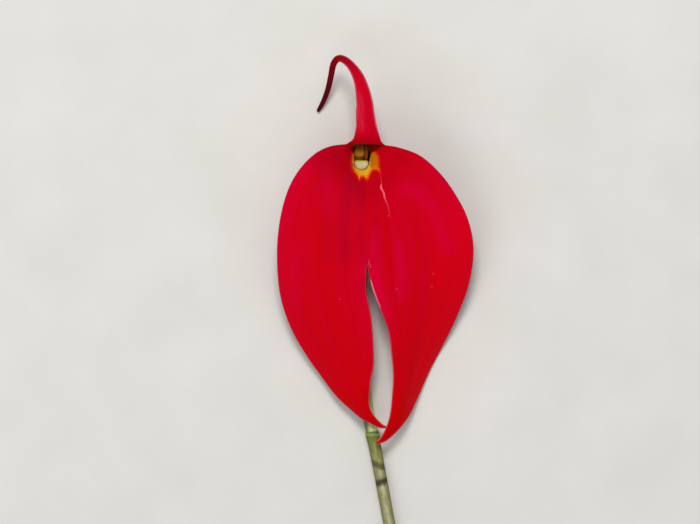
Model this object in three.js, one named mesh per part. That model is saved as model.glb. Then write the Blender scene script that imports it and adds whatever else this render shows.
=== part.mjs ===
// A cut Masdevallia flower lying on its back, one named solid for each organ of the flower.
// Millimetres, +Z up. The flower looks up along +Z, its stem runs away along -Y, and z = 0 is
// the surface it lies on. The default export is a THREE.Group whose origin is under the middle
// of the whole flower.
import * as THREE from "three";

// ---- Sepals: the fused red perianth ----------------------------------------------------------
const SEPAL_THICKNESS = 0.8;
const ROWS_PER_STATION = 2; // facets along a sepal between two of its stations
const STEPS_PER_MOUTH_POINT = 3; // facets between two points of the mouth

// Mouth of the tube, from its lowest point round by the left side. Points 3 and 5 are the
// notches where the upper sepal parts from the two side sepals.
const MOUTH = [
  [0.1, -3.2, 14.6],
  [-2.9, -1.9, 14.9],
  [-4.0, 1.3, 15.3],
  [-4.3, 5.15, 15.75],
  [0.4, 5.4, 16.0],
  [5.1, 4.85, 15.75],
  [4.2, 1.3, 15.3],
  [3.2, -1.9, 14.9],
];
const LEFT_NOTCH = 3;
const RIGHT_NOTCH = 5;

// Seam where the two side sepals are joined, from the mouth down to the top of the slit.
const SEAM = [
  MOUTH[0],
  [0.1, -5.5, 15.2],
  [0.2, -9.0, 14.8],
  [0.3, -13.0, 14.0],
  [0.35, -17.0, 13.1],
  [0.4, -21.0, 12.1],
  [0.45, -24.9, 11.2],
];

// Free edge of each side sepal along the slit, from its top to the tip of the tail.
const LEFT_SLIT = [
  SEAM[6],
  [0.35, -31.5, 9.8],
  [1.6, -38.0, 8.7],
  [2.15, -44.5, 7.7],
  [2.25, -49.8, 6.9],
  [1.5, -54.0, 6.3],
  [1.05, -58.2, 5.7],
  [1.3, -60.9, 5.3],
  [2.65, -63.15, 4.9],
  [4.4, -64.9, 4.6],
  [5.5, -65.5, 4.5],
];
const RIGHT_SLIT = [
  SEAM[6],
  [1.7, -30.5, 10.2],
  [3.75, -36.0, 9.3],
  [5.7, -41.2, 8.4],
  [6.5, -47.0, 7.7],
  [7.0, -52.5, 7.0],
  [6.7, -58.0, 6.5],
  [6.25, -62.3, 6.2],
  [5.35, -65.5, 5.8],
  [3.95, -68.1, 5.1],
  [2.7, -69.35, 4.4],
];

// Outer margin of each side sepal, one point for each point of the seam and the slit.
const LEFT_MARGIN = [
  MOUTH[LEFT_NOTCH],
  [-8.75, 4.55, 15.8],
  [-12.7, 2.55, 15.0],
  [-16.5, -1.4, 13.8],
  [-19.3, -6.5, 12.4],
  [-21.2, -13.5, 10.8],
  [-22.0, -22.0, 8.8],
  [-21.35, -31.9, 6.3],
  [-18.8, -40.3, 4.4],
  [-15.1, -47.05, 3.0],
  [-11.2, -52.65, 2.4],
  [-7.45, -57.65, 2.8],
  [-3.7, -61.2, 3.3],
  [-0.9, -63.5, 4.0],
  [1.0, -64.5, 4.4],
  [3.4, -65.75, 4.5],
  [5.3, -66.0, 4.5],
];
const RIGHT_MARGIN = [
  MOUTH[RIGHT_NOTCH],
  [8.6, 4.2, 15.75],
  [13.6, 2.3, 15.0],
  [18.1, -1.5, 13.8],
  [22.0, -6.5, 12.4],
  [25.6, -13.3, 10.8],
  [27.15, -21.25, 8.6],
  [25.95, -30.1, 5.9],
  [22.85, -38.45, 3.0],
  [19.5, -45.35, 1.1],
  [16.3, -51.45, 0.35],
  [13.85, -56.95, 1.2],
  [11.5, -62.05, 2.9],
  [9.55, -64.95, 4.1],
  [7.1, -67.6, 4.9],
  [4.9, -69.35, 4.8],
  [2.85, -69.95, 4.4],
];
const SIDE_CROWN = 1.2; // how far the middle of a side sepal stands above a straight row
const SIDE_MOUTH_REACH = 3; // stations over which rows unbend from the curve of the mouth

// Upper sepal: centre line from the mouth to the tip of the tail, then width and keel height.
const UPPER_LINE = [
  MOUTH[4],
  [0.42, 5.95, 16.1],
  [0.43, 6.9, 16.25],
  [0.3, 9.6, 16.5],
  [0.05, 12.6, 16.3],
  [-0.12, 15.6, 15.8],
  [-0.72, 18.8, 14.9],
  [-1.72, 21.9, 13.6],
  [-3.3, 24.5, 12.0],
  [-5.1, 26.2, 10.5],
  [-6.7, 26.6, 9.2],
  [-7.9, 25.2, 7.8],
  [-8.5, 22.4, 5.8],
  [-9.2, 19.4, 3.7],
  [-10.4, 16.2, 1.6],
  [-11.9, 13.5, 0.5],
];
const UPPER_WIDTH = [
  9.4, 7.5, 6.4, 5.2, 4.65, 4.1, 3.5, 2.85, 2.2, 1.9, 1.7, 1.6, 1.5, 1.4, 1.2, 0.9,
];
const UPPER_KEEL = 0.7;
const KEEL_FULL_AT = 2; // station where the keel has its full height
const KEEL_FADES_AT = 10; // station where the keel has gone and the flat tail begins
const UPPER_MOUTH_REACH = 3;

// Tube: it drops from the mouth, leaning a little to the left, then turns through a quarter
// circle to the stem.
const TUBE_TOP = [0, 1.5, 15.0];
const TUBE_STRAIGHT = 2.4;
const TUBE_BEND = 10.35;
const TUBE_RADII = [
  [0.0, 4.05],
  [0.7, 3.9],
  [1.6, 3.8],
  [2.6, 3.75],
  [3.8, 3.72],
  [5.2, 3.65],
  [7.0, 3.5],
  [9.0, 3.3],
  [11.0, 3.1],
]; // [depth, radius to mid-wall]
const TUBE_LEAN = [
  [0.0, 0.0],
  [1.6, -0.35],
  [3.6, -0.8],
  [6.0, -0.9],
  [10.0, -0.5],
  [14.0, 0.0],
]; // [depth, sideways shift of the axis]
const TUBE_RISE = [
  [0.0, 0.0],
  [1.6, 0.2],
  [3.6, 0.35],
  [6.0, 0.3],
  [10.0, 0.0],
]; // [depth, shift of the axis towards the upper sepal]
const MOUTH_FADES_AT = 4; // depth where the mouth's outline has become round
const TUBE_BASE_RADII = [
  [12.8, 3.25],
  [14.6, 3.1],
  [16.2, 3.0],
  [17.6, 2.95],
  [18.7, 2.85],
  [19.6, 2.35],
  [20.0, 1.75],
]; // [depth, outer radius] of the solid base that sits on the ovary

// ---- Organs inside the tube: [depth, x, towards the upper sepal, half width, half height], all
// from the leaning axis of the tube ------------------------------------------------------------
const FLOOR_GAP = 0.35;
const COLUMN = [
  [11.0 - FLOOR_GAP, -0.1, 1.1, 0.8, 0.85],
  [8.0, -0.3, 1.1, 0.85, 0.9],
  [5.5, -0.5, 1.15, 1.0, 1.05],
  [4.0, -0.6, 1.2, 1.1, 1.2],
  [3.2, -0.62, 1.25, 1.0, 1.1],
  [2.8, -0.62, 1.3, 0.6, 0.7],
];
const LIP = [
  [11.0 - FLOOR_GAP, 0.0, -1.35, 0.8, 0.4],
  [8.0, -0.05, -1.5, 0.95, 0.4],
  [5.5, -0.1, -1.75, 1.3, 0.5],
  [4.0, -0.2, -1.85, 1.55, 0.8],
  [3.0, -0.3, -1.8, 1.6, 1.0],
  [2.4, -0.35, -1.7, 1.3, 0.8],
  [2.1, -0.35, -1.6, 0.8, 0.5],
];
const LEFT_PETAL = [
  [11.0 - FLOOR_GAP, -1.6, 0.6, 0.3, 0.8],
  [8.5, -1.8, 0.7, 0.3, 1.0],
  [6.0, -2.1, 0.6, 0.3, 1.15],
  [4.6, -2.3, 0.5, 0.3, 1.1],
  [3.8, -2.35, 0.45, 0.3, 0.6],
];
const RIGHT_PETAL = [
  [11.0 - FLOOR_GAP, 1.4, 0.6, 0.3, 0.8],
  [8.5, 1.3, 0.8, 0.3, 1.1],
  [5.5, 1.2, 1.0, 0.3, 1.35],
  [3.8, 1.15, 1.1, 0.3, 1.5],
  [3.0, 1.1, 1.15, 0.3, 0.8],
];
const ORGAN_SIDES = 12;

// ---- Ovary, bract and stem -------------------------------------------------------------------
const OVARY_TOP_Y = -10.5;
const OVARY_LENGTH = 10;
const OVARY_HEIGHT = 2.0; // its axis above the table
const OVARY_RIBS = 6;
const OVARY_RIB_DEPTH = 0.22;
const FACETS_PER_RIB = 4;
const OVARY_RADII = [
  [0.0, 1.45],
  [0.5, 1.65],
  [2.5, 1.8],
  [5.5, 1.8],
  [8.5, 1.5],
  [10.0, 1.15],
]; // [distance from the top, radius over the ribs]

const JOINT_GAP = 0.3; // clearance between two pieces that touch
const STEM_LINE = [
  [0, OVARY_TOP_Y - OVARY_LENGTH - JOINT_GAP],
  [-0.3, -36],
  [0.1, -53.75],
  [0.5, -61.25],
  [1.75, -67],
  [3.35, -75],
  [6.05, -89.5],
  [9.1, -106],
  [11.3, -121],
  [12.3, -134],
];
const PEDICEL_RADIUS = 0.8;
const PEDICEL_TOP_RADIUS = 0.95;
const PEDICEL_RINGS = 4;
const PEDUNCLE_RADIUS = 1.5;
const PEDUNCLE_RINGS = 10;
const CUT_RADIUS = 1.45;
const NODE_TOP_Y = -66.9; // shoulder on which the bract sits
const NODE_PROFILE = [
  [0.02, 1.62],
  [0.35, 1.72],
  [0.9, 1.7],
  [1.4, 1.6],
  [2.2, PEDUNCLE_RADIUS],
]; // [distance below the shoulder, radius] of the swollen ring
const STEM_SIDES = 12;
const CUT_SLANT = 1.1; // how far the lower side of the cut end stands out beyond its middle

const BRACT_LENGTH = 12;
const BRACT_WALL = 0.6;
const BRACT_RADIUS = PEDICEL_RADIUS + JOINT_GAP + BRACT_WALL;
const BRACT_TIP = 2.0; // how far the bract's tip stands out beyond the middle of its mouth
const BRACT_RINGS = 8;

const FINISHES = {
  sepals: { color: 0xcc0018, roughness: 0.55 },
  petal_left: { color: 0xb85a2a, roughness: 0.45 },
  petal_right: { color: 0xb85a2a, roughness: 0.45 },
  lip: { color: 0xe4d7b4, roughness: 0.45 },
  column: { color: 0xd9cfae, roughness: 0.4 },
  ovary: { color: 0x6c8a34, roughness: 0.5 },
  floral_bract: { color: 0x87a04a, roughness: 0.55 },
  stem: { color: 0x8c9455, roughness: 0.5 },
};

// ---- Geometry helpers -------------------------------------------------------------------------
const vector = (p) => new THREE.Vector3(...p);

function splineThrough(points, closed = false) {
  return new THREE.CatmullRomCurve3(points.map(vector), closed, "catmullrom", 0.5);
}

// A spline read by the number of its station, so 2.5 is half-way between points 2 and 3.
function stationReader(points) {
  const curve = splineThrough(points);
  return (station) => curve.getPoint(station / (points.length - 1));
}

// A value read from a rising list of [position, value], straight between two entries.
function valueAt(table, position) {
  const next = table.findIndex(([at]) => at >= position);
  if (next <= 0) return table[next === 0 ? 0 : table.length - 1][1];
  const [[a, va], [b, vb]] = [table[next - 1], table[next]];
  return va + ((vb - va) * (position - a)) / (b - a);
}

function solidGeometry(vertices, triangles) {
  const volume = triangles.reduce(
    (sum, [a, b, c]) => sum + vertices[a].dot(vertices[b].clone().cross(vertices[c])),
    0,
  );
  const outward = volume < 0 ? triangles.map(([a, b, c]) => [a, c, b]) : triangles;
  const geometry = new THREE.BufferGeometry().setFromPoints(vertices);
  geometry.setIndex(outward.flat());
  geometry.computeVertexNormals();
  return geometry;
}

// The band of triangles between two rings of vertex numbers.
function band(ringA, ringB) {
  return ringA.flatMap((a, i) => {
    const next = (i + 1) % ringA.length;
    return [
      [a, ringA[next], ringB[next]],
      [a, ringB[next], ringB[i]],
    ];
  });
}

const fan = (ring, centre) => ring.map((a, i) => [a, ring[(i + 1) % ring.length], centre]);
const reversed = (triangles) => triangles.map(([a, b, c]) => [a, c, b]);

function centreOf(points) {
  return points.reduce((sum, p) => sum.add(p), new THREE.Vector3()).divideScalar(points.length);
}

// A solid lofted through rings of points, closed by a fan at each end.
function loft(rings) {
  const sides = rings[0].length;
  const vertices = [...rings.flat(), centreOf(rings[0]), centreOf(rings.at(-1))];
  const numbers = rings.map((ring, r) => ring.map((_, i) => r * sides + i));
  const first = rings.length * sides;
  return solidGeometry(vertices, [
    ...reversed(fan(numbers[0], first)),
    ...numbers.slice(1).flatMap((ring, r) => band(numbers[r], ring)),
    ...fan(numbers.at(-1), first + 1),
  ]);
}

// ---- Sepals -----------------------------------------------------------------------------------
// The middle surface of the perianth is one sheet: a ring of vertices at the mouth, a grid for
// each sepal that starts on its share of that ring, and the rings of the tube below it. The
// sheet is then thickened to both sides, and its tube is closed by a floor and a solid base.
class Sheet {
  constructor() {
    this.points = [];
    this.triangles = [];
  }

  add(point) {
    this.points.push(point);
    return this.points.length - 1;
  }

  // Fills a grid of vertex numbers with triangles; flip turns its upper face over.
  fill(grid, flip, closed = false) {
    const last = grid[0].length - (closed ? 0 : 1);
    for (let r = 0; r + 1 < grid.length; r++) {
      for (let c = 0; c < last; c++) {
        const next = (c + 1) % grid[0].length;
        const quad = [grid[r][c], grid[r][next], grid[r + 1][next], grid[r + 1][c]];
        const [a, b, d, e] = flip ? [quad[0], quad[3], quad[2], quad[1]] : quad;
        this.triangles.push([a, b, d], [a, d, e]);
      }
    }
  }

  normals() {
    const sums = this.points.map(() => new THREE.Vector3());
    for (const [a, b, c] of this.triangles) {
      const side = this.points[b].clone().sub(this.points[a]);
      const face = side.cross(this.points[c].clone().sub(this.points[a]));
      for (const corner of [a, b, c]) sums[corner].add(face);
    }
    return sums.map((sum) => sum.normalize());
  }

  // Edges that only one triangle uses, each in the direction of its triangle.
  openEdges() {
    const edges = new Map();
    for (const [a, b, c] of this.triangles) {
      for (const [from, to] of [[a, b], [b, c], [c, a]]) {
        if (!edges.delete(`${to} ${from}`)) edges.set(`${from} ${to}`, [from, to]);
      }
    }
    return [...edges.values()];
  }
}

function mouthRing() {
  const curve = splineThrough(MOUTH, true);
  const count = MOUTH.length * STEPS_PER_MOUTH_POINT;
  return Array.from({ length: count }, (_, i) => curve.getPoint(i / count));
}

// A point of a side sepal: a straight row from seam or slit to margin, crowned in its middle,
// and near the mouth bent along with the mouth.
function sidePoint(edges, mouthRow, station, across) {
  const inner = edges.inner(station);
  const outer = edges.outer(station);
  const point = inner.clone().lerp(outer, across);
  const lastStation = LEFT_MARGIN.length - 1;
  const crown = SIDE_CROWN * Math.sin((Math.PI * station) / lastStation);
  point.z += crown * 4 * across * (1 - across);
  const hold = Math.max(0, 1 - station / SIDE_MOUTH_REACH) ** 2;
  const straight = mouthRow[0].clone().lerp(mouthRow.at(-1), across);
  const onMouth = mouthRow[Math.round(across * (mouthRow.length - 1))];
  return point.addScaledVector(onMouth.clone().sub(straight), hold);
}

function sideEdges(slit, margin) {
  const seamAt = stationReader(SEAM);
  const slitAt = stationReader(slit);
  const fork = SEAM.length - 1;
  return {
    inner: (station) => (station <= fork ? seamAt(station) : slitAt(station - fork)),
    outer: stationReader(margin),
  };
}

function sideGrid(sheet, edges, mouthNumbers, seamNumbers) {
  const rows = (LEFT_MARGIN.length - 1) * ROWS_PER_STATION;
  const mouthRow = mouthNumbers.map((n) => sheet.points[n]);
  const grid = [mouthNumbers];
  for (let r = 1; r <= rows; r++) {
    const station = r / ROWS_PER_STATION;
    grid.push(
      mouthNumbers.map((_, c) => {
        if (c === 0 && seamNumbers[r] !== undefined) return seamNumbers[r];
        return sheet.add(sidePoint(edges, mouthRow, station, c / (mouthNumbers.length - 1)));
      }),
    );
  }
  return grid;
}

function upperGrid(sheet, mouthNumbers) {
  const line = stationReader(UPPER_LINE);
  const widths = UPPER_WIDTH.map((width, i) => [i, width]);
  const last = UPPER_LINE.length - 1;
  const mouthRow = mouthNumbers.map((n) => sheet.points[n]);
  const mouthMiddle = vector(UPPER_LINE[0]);
  const up = new THREE.Vector3(0, 0, 1);
  const grid = [mouthNumbers];
  for (let r = 1; r <= last * ROWS_PER_STATION; r++) {
    const station = r / ROWS_PER_STATION;
    const centre = line(station);
    const ahead = line(Math.min(last, station + 0.1)).sub(line(Math.max(0, station - 0.1)));
    const right = ahead.cross(up).normalize();
    const rising = Math.min(1, station / KEEL_FULL_AT);
    const keel = UPPER_KEEL * rising * Math.max(0, 1 - station / KEEL_FADES_AT);
    const hold = Math.max(0, 1 - station / UPPER_MOUTH_REACH) ** 2;
    grid.push(
      mouthNumbers.map((_, c) => {
        const across = (2 * c) / (mouthNumbers.length - 1) - 1;
        const point = centre.clone().addScaledVector(right, (across * valueAt(widths, station)) / 2);
        point.z += keel * (1 - across * across);
        const levelRow = mouthMiddle.clone().setX(mouthMiddle.x + (across * UPPER_WIDTH[0]) / 2);
        point.addScaledVector(mouthRow[c].clone().sub(levelRow), hold);
        return sheet.add(point);
      }),
    );
  }
  return grid;
}

// Axis of the tube at a depth below the mouth, and the direction towards the upper sepal.
function tubeFrame(depth) {
  const [x, y, z] = TUBE_TOP;
  const quarter = (TUBE_BEND * Math.PI) / 2;
  const bent = Math.min(quarter, Math.max(0, depth - TUBE_STRAIGHT));
  const angle = bent / TUBE_BEND;
  const beyond = Math.max(0, depth - TUBE_STRAIGHT - quarter);
  const centre = new THREE.Vector3(
    x,
    y - TUBE_BEND * (1 - Math.cos(angle)) - beyond,
    z - Math.min(depth, TUBE_STRAIGHT) - TUBE_BEND * Math.sin(angle),
  );
  return { centre, dorsal: new THREE.Vector3(0, Math.cos(angle), -Math.sin(angle)) };
}

// A point given from the leaning axis of the tube.
function inTube(depth, x, dorsal) {
  const frame = tubeFrame(depth);
  const sideways = new THREE.Vector3(x + valueAt(TUBE_LEAN, depth), 0, 0);
  return frame.centre
    .addScaledVector(frame.dorsal, dorsal + valueAt(TUBE_RISE, depth))
    .add(sideways);
}

// One ring of the tube: the mouth's own outline near the top, a circle further down.
function tubeRing(mouthPoints, depth, radius) {
  const [x0, y0, z0] = TUBE_TOP;
  const mouthRadius = TUBE_RADII[0][1];
  const hold = Math.max(0, 1 - depth / MOUTH_FADES_AT) ** 2;
  return mouthPoints.map((p) => {
    const angle = Math.atan2(p.y - y0, p.x - x0);
    const reach = Math.hypot(p.x - x0, p.y - y0) / mouthRadius;
    const r = radius * (1 + hold * (reach - 1));
    const point = inTube(depth, r * Math.cos(angle), r * Math.sin(angle));
    point.z += hold * (p.z - z0);
    return point;
  });
}

function sepalGeometry() {
  const sheet = new Sheet();
  const ring = mouthRing().map((p) => sheet.add(p));
  const mouthPoints = ring.map((n) => sheet.points[n]);
  const leftEnd = LEFT_NOTCH * STEPS_PER_MOUTH_POINT;
  const rightEnd = RIGHT_NOTCH * STEPS_PER_MOUTH_POINT;
  const leftMouth = ring.slice(0, leftEnd + 1);
  const upperMouth = ring.slice(leftEnd, rightEnd + 1);
  const rightMouth = [ring[0], ...ring.slice(rightEnd).reverse()];

  const left = sideGrid(sheet, sideEdges(LEFT_SLIT, LEFT_MARGIN), leftMouth, []);
  const seamRows = (SEAM.length - 1) * ROWS_PER_STATION;
  const seamNumbers = left.slice(0, seamRows + 1).map((row) => row[0]);
  const right = sideGrid(sheet, sideEdges(RIGHT_SLIT, RIGHT_MARGIN), rightMouth, seamNumbers);
  const tube = [
    ring,
    ...TUBE_RADII.slice(1).map(([depth, radius]) =>
      tubeRing(mouthPoints, depth, radius).map((p) => sheet.add(p)),
    ),
  ];
  sheet.fill(left, false);
  sheet.fill(right, true);
  sheet.fill(upperGrid(sheet, upperMouth), false);
  sheet.fill(tube, true, true);
  return thickened(sheet, tube.at(-1), mouthPoints);
}

// The sheet given its thickness, with the tube's end closed inside by a floor and outside by
// the solid base.
function thickened(sheet, tubeEnd, mouthPoints) {
  const half = SEPAL_THICKNESS / 2;
  const normals = sheet.normals();
  const moved = (by) => sheet.points.map((p, i) => p.clone().addScaledVector(normals[i], by));
  const vertices = [...moved(half), ...moved(-half)];
  const under = sheet.points.length;
  const endEdge = new Set(tubeEnd);
  const rim = sheet.openEdges().filter(([a, b]) => !(endEdge.has(a) && endEdge.has(b)));
  const triangles = [
    ...sheet.triangles,
    ...reversed(sheet.triangles).map((t) => t.map((n) => n + under)),
    ...rim.flatMap(([a, b]) => [
      [b, a, a + under],
      [b, a + under, b + under],
    ]),
  ];
  const add = (point) => vertices.push(point) - 1;
  const floor = add(centreOf(tubeEnd.map((n) => vertices[n])));
  triangles.push(...reversed(fan(tubeEnd, floor)));
  let outer = tubeEnd.map((n) => n + under);
  for (const [depth, radius] of TUBE_BASE_RADII) {
    const next = tubeRing(mouthPoints, depth, radius).map(add);
    triangles.push(...band(outer, next));
    outer = next;
  }
  triangles.push(...fan(outer, add(centreOf(outer.map((n) => vertices[n])))));
  for (const point of vertices) point.z = Math.max(0, point.z);
  return solidGeometry(vertices, triangles);
}

// ---- Organs in the tube -----------------------------------------------------------------------
function organGeometry(stations) {
  return loft(
    stations.map(([depth, x, dorsal, halfWidth, halfHeight]) =>
      Array.from({ length: ORGAN_SIDES }, (_, i) => {
        const angle = (2 * Math.PI * (i + 0.5)) / ORGAN_SIDES;
        return inTube(depth, x + halfWidth * Math.cos(angle), dorsal + halfHeight * Math.sin(angle));
      }),
    ),
  );
}

// ---- Ovary ------------------------------------------------------------------------------------
function ovaryGeometry() {
  const sides = OVARY_RIBS * FACETS_PER_RIB;
  return loft(
    OVARY_RADII.map(([distance, radius]) =>
      Array.from({ length: sides }, (_, i) => {
        const angle = (2 * Math.PI * i) / sides + Math.PI / 2;
        const groove = (1 - Math.cos(OVARY_RIBS * (angle - Math.PI / 2))) / 2;
        const r = radius - OVARY_RIB_DEPTH * groove;
        return new THREE.Vector3(
          r * Math.cos(angle),
          OVARY_TOP_Y - distance,
          OVARY_HEIGHT + r * Math.sin(angle),
        );
      }),
    ),
  );
}

// ---- Stem and bract ---------------------------------------------------------------------------
const CURVE_PRECISION = 1e-9;
const stemCurve = splineThrough(STEM_LINE.map(([x, y]) => [x, y, 0]));

// Where the stem's centre line passes a given y, and its level direction there.
function stemAt(y) {
  let [low, high] = [0, 1];
  while (high - low > CURVE_PRECISION) {
    const middle = (low + high) / 2;
    if (stemCurve.getPoint(middle).y > y) low = middle;
    else high = middle;
  }
  return { point: stemCurve.getPoint(low), along: stemCurve.getTangent(low).setZ(0).normalize() };
}

// A ring round the stem with one flat side down. Its points are pushed along the stem by
// slant times their height over the axis.
function stemRing(y, radius, height, sides, slant = 0) {
  const { point, along } = stemAt(y);
  const right = new THREE.Vector3(along.y, -along.x, 0);
  return Array.from({ length: sides }, (_, i) => {
    const angle = (2 * Math.PI * (i + 0.5)) / sides + Math.PI / 2;
    const rise = radius * Math.sin(angle);
    return point
      .clone()
      .setZ(height + rise)
      .addScaledVector(right, radius * Math.cos(angle))
      .addScaledVector(along, slant * rise);
  });
}

// Values from start to end in equal steps, without the start.
function stepsTo(start, end, count) {
  return Array.from({ length: count }, (_, i) => start + ((end - start) * (i + 1)) / count);
}

const STEM_TOP_Y = STEM_LINE[0][1];
const BRACT_TOP_Y = NODE_TOP_Y + BRACT_LENGTH;

// Rings of the stem from the ovary down to the cut: [y, radius].
function stemProfile() {
  const cut = STEM_LINE.at(-1)[1];
  const nodeEnd = NODE_TOP_Y - NODE_PROFILE.at(-1)[0];
  const radii = stepsTo(PEDUNCLE_RADIUS, CUT_RADIUS, PEDUNCLE_RINGS);
  return [
    [STEM_TOP_Y, PEDICEL_TOP_RADIUS],
    ...stepsTo(STEM_TOP_Y, BRACT_TOP_Y, PEDICEL_RINGS).map((y) => [y, PEDICEL_RADIUS]),
    ...stepsTo(BRACT_TOP_Y, NODE_TOP_Y, PEDICEL_RINGS).map((y) => [y, PEDICEL_RADIUS]),
    ...NODE_PROFILE.map(([below, radius]) => [NODE_TOP_Y - below, radius]),
    ...stepsTo(nodeEnd, cut, PEDUNCLE_RINGS).map((y, i) => [y, radii[i]]),
  ];
}

// Height of the axis over the table: the pedicel comes down from the ovary into the bract, and
// below the node the stem lies on one of its flat sides.
function stemHeight(y, radius) {
  const lying = Math.cos(Math.PI / STEM_SIDES);
  if (y < NODE_TOP_Y) return radius * lying;
  const share = Math.min(1, (y - STEM_TOP_Y) / (BRACT_TOP_Y - STEM_TOP_Y));
  return OVARY_HEIGHT + (BRACT_RADIUS * lying - OVARY_HEIGHT) * share;
}

function stemGeometry() {
  const rings = stemProfile();
  const cut = rings.at(-1)[0];
  return loft(
    rings.map(([y, radius]) => {
      const slant = y === cut ? CUT_SLANT / radius : 0;
      return stemRing(y, radius, stemHeight(y, radius), STEM_SIDES, slant);
    }),
  );
}

// The floral bract: a thin sheath round the pedicel, with a slanting mouth.
function bractGeometry() {
  const base = NODE_TOP_Y + JOINT_GAP;
  const axis = stemHeight(NODE_TOP_Y, PEDUNCLE_RADIUS);
  const ringAt = (share, radius) =>
    stemRing(
      base + (BRACT_LENGTH - BRACT_TIP) * share,
      radius,
      axis,
      STEM_SIDES,
      -(BRACT_TIP / BRACT_RADIUS) * share ** 3,
    );
  const shares = Array.from({ length: BRACT_RINGS }, (_, i) => i / (BRACT_RINGS - 1));
  const outer = shares.map((share) => ringAt(share, BRACT_RADIUS));
  const inner = shares.map((share) => ringAt(share, BRACT_RADIUS - BRACT_WALL)).reverse();
  const rings = [...outer, ...inner];
  const numbers = rings.map((ring, r) => ring.map((_, i) => r * STEM_SIDES + i));
  const closed = [...numbers, numbers[0]];
  return solidGeometry(
    rings.flat(),
    closed.slice(1).flatMap((ring, r) => band(closed[r], ring)),
  );
}

// ---- The flower -------------------------------------------------------------------------------
function meshOf(name, geometry) {
  const material = new THREE.MeshStandardMaterial({ ...FINISHES[name], metalness: 0 });
  const mesh = new THREE.Mesh(geometry, material);
  mesh.name = name;
  return mesh;
}

const flower = new THREE.Group();
flower.add(
  meshOf("sepals", sepalGeometry()),
  meshOf("petal_left", organGeometry(LEFT_PETAL)),
  meshOf("petal_right", organGeometry(RIGHT_PETAL)),
  meshOf("lip", organGeometry(LIP)),
  meshOf("column", organGeometry(COLUMN)),
  meshOf("ovary", ovaryGeometry()),
  meshOf("floral_bract", bractGeometry()),
  meshOf("stem", stemGeometry()),
);

const box = new THREE.Box3().setFromObject(flower);
const middle = box.getCenter(new THREE.Vector3());
flower.position.set(-middle.x, -middle.y, -box.min.z);

const group = new THREE.Group();
group.add(flower);
export default group;
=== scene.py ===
# %% [markdown]
# # A cut Masdevallia flower, lying on its back
#
# This is one bloom of a Masdevallia orchid. It was picked with a hand's width of stem and laid
# on a pale table. Three sepals are grown together into a tube: the upper one is a narrow tail,
# and the two side ones are the broad scarlet blades. Inside the tube stand the lip, the column
# and two small petals. The solids of the part are loaded first. They never move; every piece
# made below is built round them, in their own coordinates.

# %% Load the solids
import math

import bpy
import numpy as np
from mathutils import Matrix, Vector
from mathutils.bvhtree import BVHTree


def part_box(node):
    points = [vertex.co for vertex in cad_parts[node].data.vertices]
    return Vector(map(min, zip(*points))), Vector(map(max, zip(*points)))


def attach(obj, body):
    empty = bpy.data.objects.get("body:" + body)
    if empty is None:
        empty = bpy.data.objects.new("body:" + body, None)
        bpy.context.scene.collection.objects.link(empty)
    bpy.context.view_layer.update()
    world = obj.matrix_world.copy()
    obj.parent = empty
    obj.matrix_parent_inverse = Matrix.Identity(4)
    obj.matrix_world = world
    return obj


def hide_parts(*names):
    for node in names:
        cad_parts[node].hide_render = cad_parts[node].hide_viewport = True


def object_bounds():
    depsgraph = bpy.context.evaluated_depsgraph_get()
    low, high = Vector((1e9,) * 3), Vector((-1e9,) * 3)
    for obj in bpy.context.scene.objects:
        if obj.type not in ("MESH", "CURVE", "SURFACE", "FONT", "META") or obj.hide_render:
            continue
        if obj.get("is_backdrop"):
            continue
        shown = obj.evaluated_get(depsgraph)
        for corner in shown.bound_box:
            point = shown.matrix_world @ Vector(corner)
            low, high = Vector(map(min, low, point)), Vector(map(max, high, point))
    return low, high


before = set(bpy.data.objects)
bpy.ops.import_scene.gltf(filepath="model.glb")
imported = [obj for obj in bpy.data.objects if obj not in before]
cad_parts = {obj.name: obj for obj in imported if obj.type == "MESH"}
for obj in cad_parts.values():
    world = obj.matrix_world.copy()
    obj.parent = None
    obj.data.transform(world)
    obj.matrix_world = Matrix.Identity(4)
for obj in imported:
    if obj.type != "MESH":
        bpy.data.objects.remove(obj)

solid_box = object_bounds()
print("solids:", ", ".join(sorted(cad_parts)))
print("box in mm:", [round(1000 * (b - a), 1) for a, b in zip(*solid_box)])

# %% [markdown]
# ## Millimetres from the mouth of the flower
#
# A flower is easiest to draw from its own middle, so all tables here are in millimetres from
# a point just above the mouth of the tube: X to the right, Y towards the upper sepal, Z up from
# the table. Blender works in metres from under the middle of the whole part. The ovary tells
# how far the two lie apart, because its centre line is at X = 0 and its top is 10.5 mm below
# that point.

# %% From flower millimetres to Blender metres
OVARY_TOP_Y = -10.5
ovary_low, ovary_high = (np.array(corner) * 1000 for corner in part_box("ovary"))
SHIFT = np.array([(ovary_low[0] + ovary_high[0]) / 2, ovary_high[1] - OVARY_TOP_Y, 0.0])


def in_metres(points):
    """Points in flower millimetres, moved and scaled to Blender's metres."""
    return (np.asarray(points, float) + SHIFT) / 1000


print("the mouth is at", in_metres([0, 0, 15]).round(4))

# %% [markdown]
# ## Camera
#
# The flower faces straight up, so the camera hangs over it and looks straight down. A long lens
# far away keeps the outline of the blades free of perspective. The view is 175 mm wide, and the
# flower hangs in its upper half with the stem leaving at the bottom.

# %% Camera
VIEW_WIDTH = 175.0  # mm across the view, at the height of the blades
VIEW_CENTRE = (-3.75, -24.25, 9.0)  # flower millimetres
LENS, SENSOR = 300.0, 36.0  # mm
camera_data = bpy.data.cameras.new("camera")
camera_data.lens = LENS
camera_data.sensor_width = SENSOR
camera_data.clip_end = 20.0
camera = bpy.data.objects.new("camera", camera_data)
camera_height = VIEW_WIDTH * LENS / SENSOR
camera.location = in_metres(VIEW_CENTRE) + np.array([0, 0, camera_height / 1000])
bpy.context.collection.objects.link(camera)
bpy.context.scene.camera = camera
print("camera", round(camera_height), "mm above the blades")

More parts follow.
